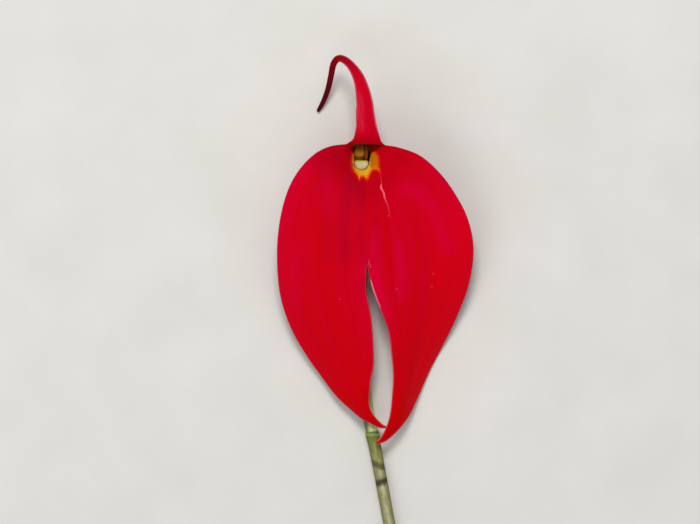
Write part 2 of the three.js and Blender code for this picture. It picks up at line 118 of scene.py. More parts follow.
# %% [markdown]
# ## Light and floor
#
# Saturated reds turn pink or orange when the view squeezes bright colours, so the plain
# 'Standard' view is used, with light kept low enough that nothing burns out. A soft lamp stands
# high on the side of the upper sepal. Its light rakes over the blades and leaves the throat under
# the hood in shade. A weaker, wider one fills from the lower left, and an even pale surround
# lights the underside. The floor is a wide pale sheet that isn't part of the flower.

# %% Light
SURROUND_COLOUR, SURROUND_STRENGTH = (1.0, 0.99, 0.97, 1.0), 0.42
LIT_POINT = (2, -25, 8)  # mm, where the lamps point
bpy.context.scene.view_settings.view_transform = "Standard"
bpy.context.scene.view_settings.look = "None"
world = bpy.data.worlds.new("surround")
world.use_nodes = True
surround = world.node_tree.nodes["Background"].inputs
surround["Color"].default_value = SURROUND_COLOUR
surround["Strength"].default_value = SURROUND_STRENGTH
bpy.context.scene.world = world


def lamp(name, place, width, watts, colour=(1.0, 1.0, 1.0)):
    """A square soft lamp that points at the middle of the flower. Places and widths in mm."""
    data = bpy.data.lights.new(name, "AREA")
    data.size = width / 1000
    data.energy = watts
    data.color = colour
    made = bpy.data.objects.new(name, data)
    made.location = in_metres(place)
    to_flower = Vector(in_metres(LIT_POINT)) - made.location
    made.rotation_euler = to_flower.to_track_quat("-Z", "Y").to_euler()
    made.visible_camera = False
    bpy.context.collection.objects.link(made)
    return made


lamps = [
    lamp("key_lamp", (-40, 470, 800), 300, 4.7, (1.0, 0.985, 0.96)),
    lamp("fill_lamp", (-420, -520, 700), 700, 1.9),
]
print("lamps:", [made.name for made in lamps])

# %% [markdown]
# ## A short way to write materials
#
# Every finish on the flower is a pattern of nodes. Adding them one by one takes many lines, so
# a small helper adds a node and returns its output, ready to go into the next call. The outputs
# can be added, multiplied and faded like numbers. Values that are the same all over a surface
# are set straight on the shader. Colours are written as they look on a screen, from 0 to 255.
# Most finishes are built like a glaze: one ground colour, and then thin layers over it, each
# with a share that says where it lies.

# %% Values to reckon with
def paint(red, green, blue):
    """A screen colour, 0 to 255, as the light values that a shader needs."""
    screen = np.array([red, green, blue]) / 255
    light = np.where(screen <= 0.04045, screen / 12.92, ((screen + 0.055) / 1.055) ** 2.4)
    return (*light.tolist(), 1.0)


class Value:
    """What a node gives out. It can be different at every spot of the surface."""

    def __init__(self, finish, socket):
        self.finish, self.socket = finish, socket

    def math(self, operation, other=0.0):
        return self.finish.node("Math", {0: self, 1: other}, operation=operation)

    def __add__(self, other):
        return self.math("ADD", other)

    def __sub__(self, other):
        return self.math("SUBTRACT", other)

    def __mul__(self, other):
        return self.math("MULTIPLY", other)

    def __abs__(self):
        return self.math("ABSOLUTE")

    def at_least(self, other):
        return self.math("MAXIMUM", other)

    def fade(self, start, end, low=0.0, high=1.0):
        """Goes smoothly from low to high while the value goes from start to end."""
        inputs = {0: self, 1: start, 2: end, 3: low, 4: high}
        return self.finish.node("MapRange", inputs, interpolation_type="SMOOTHSTEP")

    def ramp(self, *stops):
        """Colours along the value. Each stop is a place and the screen colour there."""
        colours = self.finish.node("ValToRGB", {0: self})
        marks = colours.socket.node.color_ramp.elements
        while len(marks) < len(stops):
            marks.new(0.5)
        for mark, (place, *colour) in zip(marks, stops):
            mark.position, mark.color = place, paint(*colour)
        return colours


print("a scarlet of (208, 2, 8) is", [round(part, 3) for part in paint(208, 2, 8)])


# %% The finish helper
class Finish:
    """One material, whose pattern grows by short calls that each return a value."""

    def __init__(self, name, **settings):
        self.material = bpy.data.materials.new(name)
        self.material.use_nodes = True
        self.tree = self.material.node_tree
        self.shader = self.tree.nodes["Principled BSDF"]
        for label, value in settings.items():
            self.shader.inputs[label.replace("_", " ")].default_value = value

    def node(self, kind, inputs, output=0, **settings):
        """Adds a node. Inputs go by name or number, to a plain number or to a value."""
        node = self.tree.nodes.new("ShaderNode" + kind)
        for label, value in settings.items():
            setattr(node, label, value)
        for socket, value in inputs.items():
            self.feed(node.inputs[socket], value)
        return Value(self, node.outputs[output])

    def feed(self, socket, value):
        if isinstance(value, Value):
            self.tree.links.new(value.socket, socket)
        else:
            socket.default_value = value

    def facts(self, *names):
        """What was stored on the points under these names."""
        return [self.node("Attribute", {}, "Fac", attribute_name=name) for name in names]

    def vector(self, x, y, z):
        return self.node("CombineXYZ", {0: x, 1: y, 2: z})

    def millimetres(self, scale=(1, 1, 1)):
        per_metre = tuple(1000 * s for s in scale)
        place = self.node("TexCoord", {}, "Object")
        return self.node("VectorMath", {0: place, 1: per_metre}, operation="MULTIPLY")

    def place(self, axis):
        """Flower millimetres to the right (axis 0) or towards the upper sepal (axis 1)."""
        return self.node("SeparateXYZ", {0: self.millimetres()}, axis) - float(SHIFT[axis])

    def noise(self, vector, scale=1.0, detail=3.0, roughness=0.5):
        inputs = {"Vector": vector, "Scale": scale, "Detail": detail, "Roughness": roughness}
        return self.node("TexNoise", inputs)

    def cells(self, scale):
        """Distance from the nearest of many scattered dots, scale of them to a millimetre."""
        return self.node("TexVoronoi", {"Vector": self.millimetres(), "Scale": scale})

    def glaze(self, colour, *layers):
        """Lays colours over a colour. Each layer is a share and the colour that it brings."""
        for share, over in layers:
            under, over = (paint(*c) if isinstance(c, tuple) else c for c in (colour, over))
            colour = self.node("Mix", {0: share, 6: under, 7: over}, 2, data_type="RGBA")
        return colour

    def bump(self, height, millimetres, strength=1.0, under=None):
        inputs = {"Height": height, "Distance": millimetres / 1000, "Strength": strength}
        if under is not None:
            inputs["Normal"] = under
        return self.node("Bump", inputs)

    def wear(self, colour, normal=None, roughness=None):
        """Puts the finished colour, relief and roughness on the shader."""
        for label, value in (("Base Color", colour), ("Normal", normal), ("Roughness", roughness)):
            if value is not None:
                self.feed(self.shader.inputs[label], value)


# %% [markdown]
# ## Curves, rings and pieces
#
# Petals and stems have no straight lines, so their shapes are given as a few points with a
# smooth curve through them. The same kind of curve, one that passes through all its points,
# shaped the solids, so the fine surfaces here lie exactly on them. A second helper reads a table
# of widths with its corners rounded, and a third turns points and faces into a Blender object
# that rides on the part.

# %% Curves
def spline(points, closed=False):
    """A smooth curve through points, read by station: 2.5 is half-way between points 2 and 3."""
    points = np.array(points, float)
    count = len(points)
    padded = np.vstack([2 * points[0] - points[1], points, 2 * points[-1] - points[-2]])

    def read(stations):
        stations = np.atleast_1d(np.asarray(stations, float))
        start = np.floor(stations).astype(int)
        if closed:
            before, a, b, after = (points[(start + k) % count] for k in (-1, 0, 1, 2))
        else:
            start = np.clip(start, 0, count - 2)
            before, a, b, after = (padded[start + k] for k in range(4))
        t = (stations - start)[:, None]
        leaving, arriving = (b - before) / 2, (after - a) / 2
        rise = 3 * t**2 - 2 * t**3
        bend = (t**3 - 2 * t**2 + t) * leaving + (t**3 - t**2) * arriving
        return (1 - rise) * a + rise * b + bend

    return read


def eased(table, reach=0.4):
    """Reads the value column of a table with its corners rounded over a reach to both sides."""
    places, values = np.array(table, float).T

    def read(at):
        window = np.asarray(at, float)[..., None] + np.linspace(-reach, reach, 9)
        return np.interp(window, places, values).mean(axis=-1)

    return read


def bell(distance, width):
    """1 in the middle and fading to nothing a few widths away."""
    return np.exp(-((np.asarray(distance) / width) ** 2))


def smooth_step(value, start, end):
    """Goes smoothly from 0 to 1 while value goes from start to end."""
    share = np.clip((np.asarray(value, float) - start) / (end - start), 0, 1)
    return share * share * (3 - 2 * share)


print("a curve through 0, 2 and 3 passes", spline([[0], [2], [3]])(1.5).item(), "at station 1.5")


# %% Rings and pieces
def facing_out(points, faces):
    """The faces, all turned over if they enclose a negative volume."""
    volume = 0.0
    for face in faces:
        a = points[face[0]]
        for i in range(1, len(face) - 1):
            volume += np.dot(a, np.cross(points[face[i]], points[face[i + 1]]))
    return [face[::-1] for face in faces] if volume < 0 else faces


def loft(rings):
    """A skin through rings with equal numbers of points, with a fan on each end."""
    rings = np.asarray(rings, float)
    count, sides, _ = rings.shape
    numbers = np.arange(count * sides).reshape(count, sides)
    turned = np.roll(numbers, -1, axis=1)
    faces = np.stack([numbers[:-1], turned[:-1], turned[1:], numbers[1:]], -1)
    faces = faces.reshape(-1, 4).tolist()
    points = np.vstack([rings.reshape(-1, 3), rings[0].mean(axis=0), rings[-1].mean(axis=0)])
    for row, centre, order in ((0, count * sides, 1), (-1, count * sides + 1, -1)):
        ends = zip(numbers[row].tolist(), turned[row].tolist())
        faces += [[b, a, centre][::order] for a, b in ends]
    return points, facing_out(points, faces)


def new_piece(name, points, faces, finish, slot, stands_for=None, **attributes):
    """A Blender mesh from flower millimetres, riding on the part."""
    mesh = bpy.data.meshes.new(name)
    mesh.from_pydata(in_metres(points).tolist(), [], faces)
    for label, values in attributes.items():
        layer = mesh.attributes.new(label, "FLOAT", "POINT")
        layer.data.foreach_set("value", np.asarray(values, np.float32))
    mesh.shade_smooth()
    mesh.materials.append(finish.material)
    piece = bpy.data.objects.new(name, mesh)
    bpy.context.collection.objects.link(piece)
    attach(piece, "root")
    if stands_for:
        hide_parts(stands_for)
    low, high = np.min(points, axis=0), np.max(points, axis=0)
    print(f"{name}: {len(faces)} faces, {np.round(high - low, 1)} mm")
    return piece


# %% [markdown]
# ## The floor
#
# A plain pale board. It is one wide sheet, with a very faint mottle so that it doesn't look
# like empty space, and it is declared as stage, which keeps it out of the part.

# %% Floor
FLOOR_REACH = 4.0  # metres from the middle to each side
FLOOR_SINK = 0.00005  # metres below the part, so that nothing flickers
board = Finish("pale_board", Roughness=0.75, Specular_IOR_Level=0.2)
mottle = board.noise(board.millimetres(), scale=0.05, detail=4)
board.wear(mottle.ramp((0.3, 222, 221, 217), (0.7, 228, 227, 224)))
corners = [(-1, -1), (1, -1), (1, 1), (-1, 1)]
corners = [(FLOOR_REACH * x, FLOOR_REACH * y, -FLOOR_SINK) for x, y in corners]
floor_mesh = bpy.data.meshes.new("floor")
floor_mesh.from_pydata(corners, [], [[0, 1, 2, 3]])
floor_mesh.materials.append(board.material)
floor = bpy.data.objects.new("floor", floor_mesh)
bpy.context.collection.objects.link(floor)
floor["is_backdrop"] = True
print("floor", 2 * FLOOR_REACH, "m wide")

# %% [markdown]
# ## Sepals: the lines they are drawn by
#
# The three sepals and their tube are one skin. Its shape is drawn by a few lines: the rim of
# the mouth, the seam where the two side sepals are joined, the edges of the slit below it, the
# outer margins, and the middle line of the upper sepal. The rim turns left from its lowest
# point; points 3 and 5 are the notches beside the upper sepal.

# %% Sepal lines
MOUTH = [
    (0.1, -3.2, 14.6), (-2.9, -1.9, 14.9), (-4.0, 1.3, 15.3), (-4.3, 5.15, 15.75),
    (0.4, 5.4, 16.0), (5.1, 4.85, 15.75), (4.2, 1.3, 15.3), (3.2, -1.9, 14.9),
]
LEFT_NOTCH, RIGHT_NOTCH = 3, 5
SEAM = [
    MOUTH[0], (0.1, -5.5, 15.2), (0.2, -9.0, 14.8), (0.3, -13.0, 14.0),
    (0.35, -17.0, 13.1), (0.4, -21.0, 12.1), (0.45, -24.9, 11.2),
]
LEFT_SLIT = [
    SEAM[6], (0.35, -31.5, 9.8), (1.6, -38.0, 8.7), (2.15, -44.5, 7.7), (2.25, -49.8, 6.9),
    (1.5, -54.0, 6.3), (1.05, -58.2, 5.7), (1.3, -60.9, 5.3), (2.65, -63.15, 4.9),
    (4.4, -64.9, 4.6), (5.5, -65.5, 4.5),
]
RIGHT_SLIT = [
    SEAM[6], (1.7, -30.5, 10.2), (3.75, -36.0, 9.3), (5.7, -41.2, 8.4), (6.5, -47.0, 7.7),
    (7.0, -52.5, 7.0), (6.7, -58.0, 6.5), (6.25, -62.3, 6.2), (5.35, -65.5, 5.8),
    (3.95, -68.1, 5.1), (2.7, -69.35, 4.4),
]
LEFT_MARGIN = [
    MOUTH[LEFT_NOTCH], (-8.75, 4.55, 15.8), (-12.7, 2.55, 15.0), (-16.5, -1.4, 13.8),
    (-19.3, -6.5, 12.4), (-21.2, -13.5, 10.8), (-22.0, -22.0, 8.8), (-21.35, -31.9, 6.3),
    (-18.8, -40.3, 4.4), (-15.1, -47.05, 3.0), (-11.2, -52.65, 2.4), (-7.45, -57.65, 2.8),
    (-3.7, -61.2, 3.3), (-0.9, -63.5, 4.0), (1.0, -64.5, 4.4), (3.4, -65.75, 4.5),
    (5.3, -66.0, 4.5),
]
RIGHT_MARGIN = [
    MOUTH[RIGHT_NOTCH], (8.6, 4.2, 15.75), (13.6, 2.3, 15.0), (18.1, -1.5, 13.8),
    (22.0, -6.5, 12.4), (25.6, -13.3, 10.8), (27.15, -21.25, 8.6), (25.95, -30.1, 5.9),
    (22.85, -38.45, 3.0), (19.5, -45.35, 1.1), (16.3, -51.45, 0.35), (13.85, -56.95, 1.2),
    (11.5, -62.05, 2.9), (9.55, -64.95, 4.1), (7.1, -67.6, 4.9), (4.9, -69.35, 4.8),
    (2.85, -69.95, 4.4),
]
UPPER_LINE = [
    MOUTH[4], (0.42, 5.95, 16.1), (0.43, 6.9, 16.25), (0.3, 9.6, 16.5), (0.05, 12.6, 16.3),
    (-0.12, 15.6, 15.8), (-0.72, 18.8, 14.9), (-1.72, 21.9, 13.6), (-3.3, 24.5, 12.0),
    (-5.1, 26.2, 10.5), (-6.7, 26.6, 9.2), (-7.9, 25.2, 7.8), (-8.5, 22.4, 5.8),
    (-9.2, 19.4, 3.7), (-10.4, 16.2, 1.6), (-11.9, 13.5, 0.5),
]
UPPER_WIDTH = [9.4, 7.5, 6.4, 5.2, 4.65, 4.1, 3.5, 2.85, 2.2, 1.9, 1.7, 1.6, 1.5, 1.4, 1.2, 0.9]
LAST_SIDE, LAST_UPPER = len(LEFT_MARGIN) - 1, len(UPPER_LINE) - 1
FORK = len(SEAM) - 1  # station where the seam ends and the slit begins
print("side sepals reach down to", min(p[1] for p in RIGHT_MARGIN), "mm")

# %% [markdown]
# ## Sepals: one fine sheet
#
# The skin could be sculpted, but then its outline would only be roughly right. Here each sepal
# is a grid instead: rows go from the seam or slit to the outer margin, and all grids start on
# the rim of the mouth, so there is no join to hide. The columns crowd towards both edges, which
# leaves enough points there to round the rim of the blade.

# %% Columns, and the ring of the mouth
SIDE_COLUMNS, UPPER_COLUMNS = 64, 32
ROWS_PER_STATION = 10


def crowded(count):
    """Places from 0 to 1 that crowd together at both ends."""
    return (1 - np.cos(np.pi * np.arange(count + 1) / count)) / 2


side_across, upper_across = crowded(SIDE_COLUMNS), crowded(UPPER_COLUMNS)
mouth_curve = spline(MOUTH, closed=True)
UPPER_SPAN = RIGHT_NOTCH - LEFT_NOTCH
RIGHT_SPAN = len(MOUTH) - RIGHT_NOTCH
ring_stations = np.concatenate([
    LEFT_NOTCH * side_across,
    LEFT_NOTCH + UPPER_SPAN * upper_across[1:],
    RIGHT_NOTCH + RIGHT_SPAN * side_across[1:-1],
])
ring = mouth_curve(ring_stations)
RING_COUNT = len(ring)
notches = ring[[SIDE_COLUMNS, SIDE_COLUMNS + UPPER_COLUMNS]]
print("the mouth is a ring of", RING_COUNT, "points, with notches at", notches.round(1).tolist())

# %% A side sepal
SIDE_CROWN = 1.2  # how far the middle of a blade stands over a straight row
SIDE_MOUTH_REACH = 3  # stations over which rows unbend from the rim


def along_line(points):
    """Length along a row of points, from the first to each."""
    steps = np.linalg.norm(np.diff(points, axis=0), axis=1)
    return np.concatenate([[0], np.cumsum(steps)])


def side_sepal(slit, margin, mouth_row):
    """Points of a side sepal below the rim, distance to a free edge, place along, row width."""
    stations = np.arange(1, LAST_SIDE * ROWS_PER_STATION + 1) / ROWS_PER_STATION
    seam_part = spline(SEAM)(np.minimum(stations, FORK))
    slit_part = spline(slit)(np.maximum(stations - FORK, 0))
    inner = np.where((stations <= FORK)[:, None], seam_part, slit_part)
    outer = spline(margin)(stations)
    across = side_across[None, :, None]
    points = inner[:, None] * (1 - across) + outer[:, None] * across
    crown = SIDE_CROWN * np.sin(np.pi * stations / LAST_SIDE)[:, None]
    points[..., 2] += crown * 4 * side_across * (1 - side_across)
    hold = np.maximum(0, 1 - stations / SIDE_MOUTH_REACH) ** 2
    straight = mouth_row[0] * (1 - across) + mouth_row[-1] * across
    points += hold[:, None, None] * (mouth_row - straight)
    width = np.linalg.norm(outer - inner, axis=1)[:, None]
    length = along_line((inner + outer) / 2)[:, None]
    below_fork = along_line(inner)[:, None]
    above_fork = np.maximum(0, np.interp(FORK, stations, below_fork[:, 0]) - below_fork)
    free_inner = np.hypot(side_across * width, above_fork)
    edge = np.minimum(free_inner, (1 - side_across) * width)
    return points, np.minimum(edge, length[-1] - length), stations / LAST_SIDE, width


left_row = np.arange(SIDE_COLUMNS + 1)
right_row = np.concatenate([[0], np.arange(RING_COUNT - 1, SIDE_COLUMNS + UPPER_COLUMNS - 1, -1)])
left = side_sepal(LEFT_SLIT, LEFT_MARGIN, ring[left_row])
right = side_sepal(RIGHT_SLIT, RIGHT_MARGIN, ring[right_row])
print("a side sepal has", left[0].shape[:2], "rows and columns")

# %% The upper sepal
UPPER_MOUTH_REACH = 3  # stations
UPPER_KEEL, KEEL_FULL_AT, KEEL_FADES_AT = 0.7, 2, 10  # mm, stations
TIP_ROUND = 0.6  # mm over which the tail's tip rounds off


def upper_sepal(mouth_row):
    """The same four things for the upper sepal and its tail."""
    stations = np.arange(1, LAST_UPPER * ROWS_PER_STATION + 1) / ROWS_PER_STATION
    line = spline(UPPER_LINE)
    centre = line(stations)
    ahead = line(np.minimum(LAST_UPPER, stations + 0.1)) - line(np.maximum(0, stations - 0.1))
    right = np.cross(ahead, (0, 0, 1))
    right /= np.linalg.norm(right, axis=1)[:, None]
    width = spline([[w] for w in UPPER_WIDTH])(stations)
    length = along_line(centre)[:, None]
    to_tip = length[-1] - length
    width = width * np.sqrt(1 - (1 - np.clip(to_tip / TIP_ROUND, 0.02, 1)) ** 2)
    across = 2 * upper_across - 1
    points = centre[:, None] + right[:, None] * (across * width / 2)[..., None]
    keel = np.minimum(1, stations / KEEL_FULL_AT) * np.maximum(0, 1 - stations / KEEL_FADES_AT)
    points[..., 2] += UPPER_KEEL * keel[:, None] * (1 - across**2)
    hold = np.maximum(0, 1 - stations / UPPER_MOUTH_REACH) ** 2
    level_row = np.array(UPPER_LINE[0]) + np.outer(across * UPPER_WIDTH[0] / 2, (1, 0, 0))
    points += hold[:, None, None] * (mouth_row - level_row)
    edge = np.minimum(upper_across, 1 - upper_across) * width
    return points, np.minimum(edge, to_tip), stations / LAST_UPPER, width


upper_row = SIDE_COLUMNS + np.arange(UPPER_COLUMNS + 1)
upper = upper_sepal(ring[upper_row])
print("the upper sepal has", upper[0].shape[:2], "rows and columns")

# %% [markdown]
# ## Sepals: the tube
#
# Below the mouth the three sepals stay joined as a tube. It drops from the mouth, leans a
# little to the left and turns through a quarter circle, until it meets the ovary on the table.
# Near the top its rings keep the outline of the mouth, and further down they are round. The
# organs inside are placed by the same bent axis, so they always follow the tube.

# %% The bent axis of the tube
TUBE_TOP = (0, 1.5, 15.0)
TUBE_STRAIGHT, TUBE_BEND = 2.4, 10.35  # mm that it drops, and the radius of its bend
TUBE_LEAN = eased([(0.0, 0.0), (1.6, -0.35), (3.6, -0.8), (6.0, -0.9), (10.0, -0.5), (14.0, 0.0)])
TUBE_RISE = eased([(0.0, 0.0), (1.6, 0.2), (3.6, 0.35), (6.0, 0.3), (10.0, 0.0)])


def in_tube(depth, x, dorsal):
    """Points at a depth below the mouth, x to the right and dorsal towards the upper sepal."""
    depth, x, dorsal = np.broadcast_arrays(np.asarray(depth, float), x, dorsal)
    quarter = TUBE_BEND * math.pi / 2
    angle = np.clip(depth - TUBE_STRAIGHT, 0, quarter) / TUBE_BEND
    beyond = np.maximum(0, depth - TUBE_STRAIGHT - quarter)
    rise = dorsal + TUBE_RISE(depth)
    y = TUBE_TOP[1] - TUBE_BEND * (1 - np.cos(angle)) - beyond + rise * np.cos(angle)
    z = TUBE_TOP[2] - np.minimum(depth, TUBE_STRAIGHT) - TUBE_BEND * np.sin(angle)
    return np.stack([x + TUBE_LEAN(depth), y, z - rise * np.sin(angle)], axis=-1)


print("the axis at 0, 5, 10 and 20 mm:", in_tube([0, 5, 10, 20], 0, 0).round(1).tolist())

# %% The tube
TUBE_DEPTH = 11.0
TUBE_RADII = [
    (0.0, 4.05), (0.7, 3.9), (1.6, 3.8), (2.6, 3.75), (3.8, 3.72), (5.2, 3.65), (7.0, 3.5),
    (9.0, 3.3), (11.0, 3.1),
]
MOUTH_FADES_AT = 4.0  # depth below which the rings are round
ring_angle = np.arctan2(ring[:, 1] - TUBE_TOP[1], ring[:, 0] - TUBE_TOP[0])
ring_reach = np.hypot(ring[:, 1] - TUBE_TOP[1], ring[:, 0] - TUBE_TOP[0]) / TUBE_RADII[0][1]


def tube_ring(depth, radius):
    """A ring of the tube, which keeps the outline of the mouth near the top."""
    hold = max(0, 1 - depth / MOUTH_FADES_AT) ** 2
    reach = radius * (1 + hold * (ring_reach - 1))
    points = in_tube(depth, reach * np.cos(ring_angle), reach * np.sin(ring_angle))
    points[:, 2] += hold * (ring[:, 2] - TUBE_TOP[2])
    return points


tube_depths = np.concatenate([np.arange(0.25, 4, 0.25), np.linspace(4, TUBE_DEPTH, 16)])
tube_radius = eased(TUBE_RADII)
tube = np.array([tube_ring(d, float(tube_radius(d))) for d in tube_depths])
print("the tube ends at height", tube[-1][:, 2].mean().round(2), "mm")

# %% [markdown]
# ## Sepals: sewing the grids together
#
# The grids are now numbered as one sheet. The two side sepals share the points of the seam, and
# each grid begins with its part of the rim. With every point go facts that the finish will need
# later: how far across and along the sepal it lies, on which side, how far from a free edge,
# and how far from the mouth, counted negative inside the tube.

# %% One sheet
FROM_RIM = 0.3  # mm from the mouth that the first rows of the sepals count
TUBE_ALONG, TUBE_WIDTH = 70, 10.0  # mm, to store the tube like a sepal
sheet_points = [ring]
sheet_facts = []
grids = []


def facts_of(shape, across, along, side, edge, mouth, width):
    """One row of facts for each point."""
    values = [across, along, side, edge, mouth, width]
    return np.stack([np.broadcast_to(v, shape) for v in values], axis=-1).reshape(-1, len(values))


ring_across = np.concatenate([side_across, upper_across[1:], 1 - side_across[1:-1]])
ring_side = np.repeat([-1.0, 0.0, 1.0], [SIDE_COLUMNS + 1, UPPER_COLUMNS - 1, SIDE_COLUMNS])
to_notch = np.linalg.norm(ring[:, None] - notches, axis=2).min(axis=1)
sheet_facts.append(facts_of((RING_COUNT,), ring_across, 0.0, ring_side, to_notch, 0.0, TUBE_WIDTH))


def add_grid(points, first_row, facts):
    """Numbers the points of a grid, whose first row is on the rim already."""
    rows, columns, _ = points.shape
    start = sum(len(block) for block in sheet_points)
    numbers = start + np.arange(rows * columns).reshape(rows, columns)
    sheet_points.append(points.reshape(-1, 3))
    sheet_facts.append(facts)
    grids.append(np.vstack([first_row, numbers]))


for (points, edge, along, width), first_row, across, side in (
    (left, left_row, side_across, -1.0),
    (right, right_row, side_across, 1.0),
    (upper, upper_row, upper_across, 0.0),
):
    mouth = np.linalg.norm(points - points[:1], axis=2) + FROM_RIM
    facts = facts_of(edge.shape, across, along[:, None], side, edge, mouth, width)
    add_grid(points, first_row, facts)
seam_rows = slice(1, FORK * ROWS_PER_STATION + 1)
grids[1][seam_rows, 0] = grids[0][seam_rows, 0]
depths = tube_depths[:, None]
tube_edge = np.hypot(to_notch, depths)
add_grid(tube, np.arange(RING_COUNT), facts_of(
    tube.shape[:2], ring_across, -depths / TUBE_ALONG, ring_side, tube_edge, -depths, TUBE_WIDTH,
))
sheet, facts = np.vstack(sheet_points), np.vstack(sheet_facts)
print("sheet points:", len(sheet))


# %% Quads of the sheet
def quads_of(grid, turned=False, closed=False):
    """The faces between the rows and columns of a grid of numbers."""
    if closed:
        grid = np.hstack([grid, grid[:, :1]])
    quads = np.stack([grid[:-1, :-1], grid[:-1, 1:], grid[1:, 1:], grid[1:, :-1]], -1)
    quads = quads.reshape(-1, 4)
    return quads[:, ::-1] if turned else quads


quads = np.vstack([
    quads_of(grids[0]), quads_of(grids[1], turned=True), quads_of(grids[2]),
    quads_of(grids[3], turned=True, closed=True),
])
used, quads = np.unique(quads, return_inverse=True)
quads = quads.reshape(-1, 4)
sheet, facts = sheet[used], facts[used]
renumber = {old: new for new, old in enumerate(used.tolist())}
tube_end = [renumber[n] for n in grids[3][-1].tolist()]
across, along, side, edge, mouth, width = facts.T
print("quads:", len(quads))

# %% [markdown]
# ## Sepals: living shape
#
# A real blade has no crease where it turns down into the tube, so the sheet is relaxed near the
# mouth: each point there moves a few times towards the middle of its neighbours. Under the
# upper sepal the fold stays tighter, because it overhangs the throat like a hood. The free
# margins also wave a little. All moves are small, and they fade out before they could change
# the outline.

# %% Soften the mouth and wave the margins
SOFTEN_TIMES, SOFTEN_REACH = 14, 1.3
WAVE_HEIGHT, FOLD_HEIGHT = 0.15, 0.10  # mm
pairs = np.vstack([quads[:, [k, (k + 1) % 4]] for k in range(4)])
pairs = np.unique(np.sort(pairs, axis=1), axis=0)
neighbours = np.bincount(pairs.ravel(), minlength=len(sheet))[:, None]
turn = np.arctan2(sheet[:, 1] - TUBE_TOP[1], sheet[:, 0])
hood = bell(turn - math.pi / 2, 0.8)
near_mouth = 0.5 * bell(mouth, SOFTEN_REACH) * smooth_step(edge, 0.0, 1.2) * (1 - 0.75 * hood)


def relaxed(points, weight, times):
    """Moves each point, by its weight, towards the middle of its neighbours, a few times."""
    for _ in range(times):
        total = np.zeros_like(points)
        for a, b in ((0, 1), (1, 0)):
            np.add.at(total, pairs[:, a], points[pairs[:, b]])
        points = points + weight[:, None] * (total / neighbours - points)
    return points


sheet = relaxed(sheet, near_mouth, SOFTEN_TIMES)
blade = np.abs(side) * smooth_step(mouth, 2, 8) * smooth_step(along, 1.0, 0.8)
phase = 2 * math.pi * along
wave = np.sin(6.3 * phase + 1.1 * side) + 0.6 * np.sin(10.4 * phase + 2 + 2.3 * side)
sheet[:, 2] += WAVE_HEIGHT * wave * blade * bell(edge, 3.0)
long_fold = np.sin(2 * math.pi * (1.6 * across + 0.5 * along + 0.2 * side))
sheet[:, 2] += FOLD_HEIGHT * long_fold * blade * smooth_step(edge, 0.5, 5)
print("sheet height:", sheet[:, 2].min().round(2), "to", sheet[:, 2].max().round(2))

# %% [markdown]
# ## Sepals: thickness, veins and rim
#
# The sheet becomes a blade by moving a copy of it up and another down. The blade is thickest in
# the middle, thinner near its margins, and round along the free edge. Each side sepal has three
# main veins. They are faint grooves on the face and raised cords on the back, and the tube has
# six low ribs that run down to the ovary. The wall of the throat is fleshy: it swells inwards
# round the organs, most on the right, so the mouth narrows like a funnel. At the notches beside
# the upper sepal the back skin would fold over itself, so it is relaxed once more there.

# %% Thickness
FULL_THICKNESS, EDGE_THICKNESS, RIM_ROUND = 0.8, 0.58, 0.28


def unit_normals(points, quads):
    """Smooth normals of a sheet of quads."""
    corner = points[quads]
    normals = np.cross(corner[:, 2] - corner[:, 0], corner[:, 3] - corner[:, 1])
    total = np.zeros_like(points)
    for k in range(4):
        np.add.at(total, quads[:, k], normals)
    return total / np.linalg.norm(total, axis=1)[:, None]


normals = unit_normals(sheet, quads)
if normals[(mouth > 5) & (np.abs(side) > 0.5), 2].mean() < 0:
    normals = -normals
rounding = np.sqrt(1 - (1 - np.clip(edge / RIM_ROUND, 0.03, 1)) ** 2)
body = EDGE_THICKNESS + (FULL_THICKNESS - EDGE_THICKNESS) * smooth_step(edge, 0.2, 2.5)
thickness = body * np.maximum(rounding, 0.25)
print("thickness", thickness.min().round(2), "to", thickness.max().round(2), "mm")

# %% Veins, ribs and the fleshy throat
VEINS = ((0.25, 0.42), (0.52, 0.38), (0.78, 0.34))  # place across, half width in mm
VEIN_GROOVE, VEIN_CORD = 0.045, 0.14  # mm deep on the face, mm high on the back
THROAT_SWELL = [  # degrees round the throat from its right side, mm that the wall swells
    (-180, 1.2), (-160, 1.05), (-150, 0.7), (-138, 0.44), (-125, 0.38), (-110, 0.36), (-90, 0.38),
    (-70, 0.55), (-50, 1.15), (-30, 1.55), (0, 1.65), (30, 1.3), (50, 0.5), (70, -0.1), (90, -0.2),
    (120, -0.1), (140, 0.5), (160, 1.1), (180, 1.2),
]
NOTCH_TIMES, NOTCH_REACH = 24, 0.9
vein = np.zeros(len(sheet))
for place, half_width in VEINS:
    drift = place + 0.03 * np.sin(5 * along + 9 * place)
    vein += bell((across - drift) * width, half_width)
vein *= np.abs(side) * smooth_step(along, 0.95, 0.75) * smooth_step(edge, 0.2, 1.5)
vein *= smooth_step(mouth, 0.5, 5)
turn = np.arctan2(sheet[:, 1] - TUBE_TOP[1], sheet[:, 0] - TUBE_LEAN(np.maximum(0, -mouth)))
rib = np.where(mouth < 0, np.cos(3 * turn) ** 2 * smooth_step(-mouth, 0.5, 3), 0)
upper_rib = np.where(side == 0, bell((across - 0.5) * width, 0.5), 0) * smooth_step(mouth, 1, 4)
half = (thickness / 2)[:, None]
swell_turn, swell = zip(*THROAT_SWELL)
swell_to = smooth_step(-mouth, 0.1, 2.4) * smooth_step(-mouth, 4.6, 2.6)
throat = np.interp(np.degrees(turn), swell_turn, swell) * swell_to
cords = VEIN_CORD * (vein + 0.7 * rib + upper_rib)
face_skin = sheet + normals * (half + (throat - VEIN_GROOVE * vein)[:, None])
back_skin = sheet - normals * (half + cords[:, None])
from_notch = np.linalg.norm(sheet[:, None] - notches, axis=2).min(axis=1)
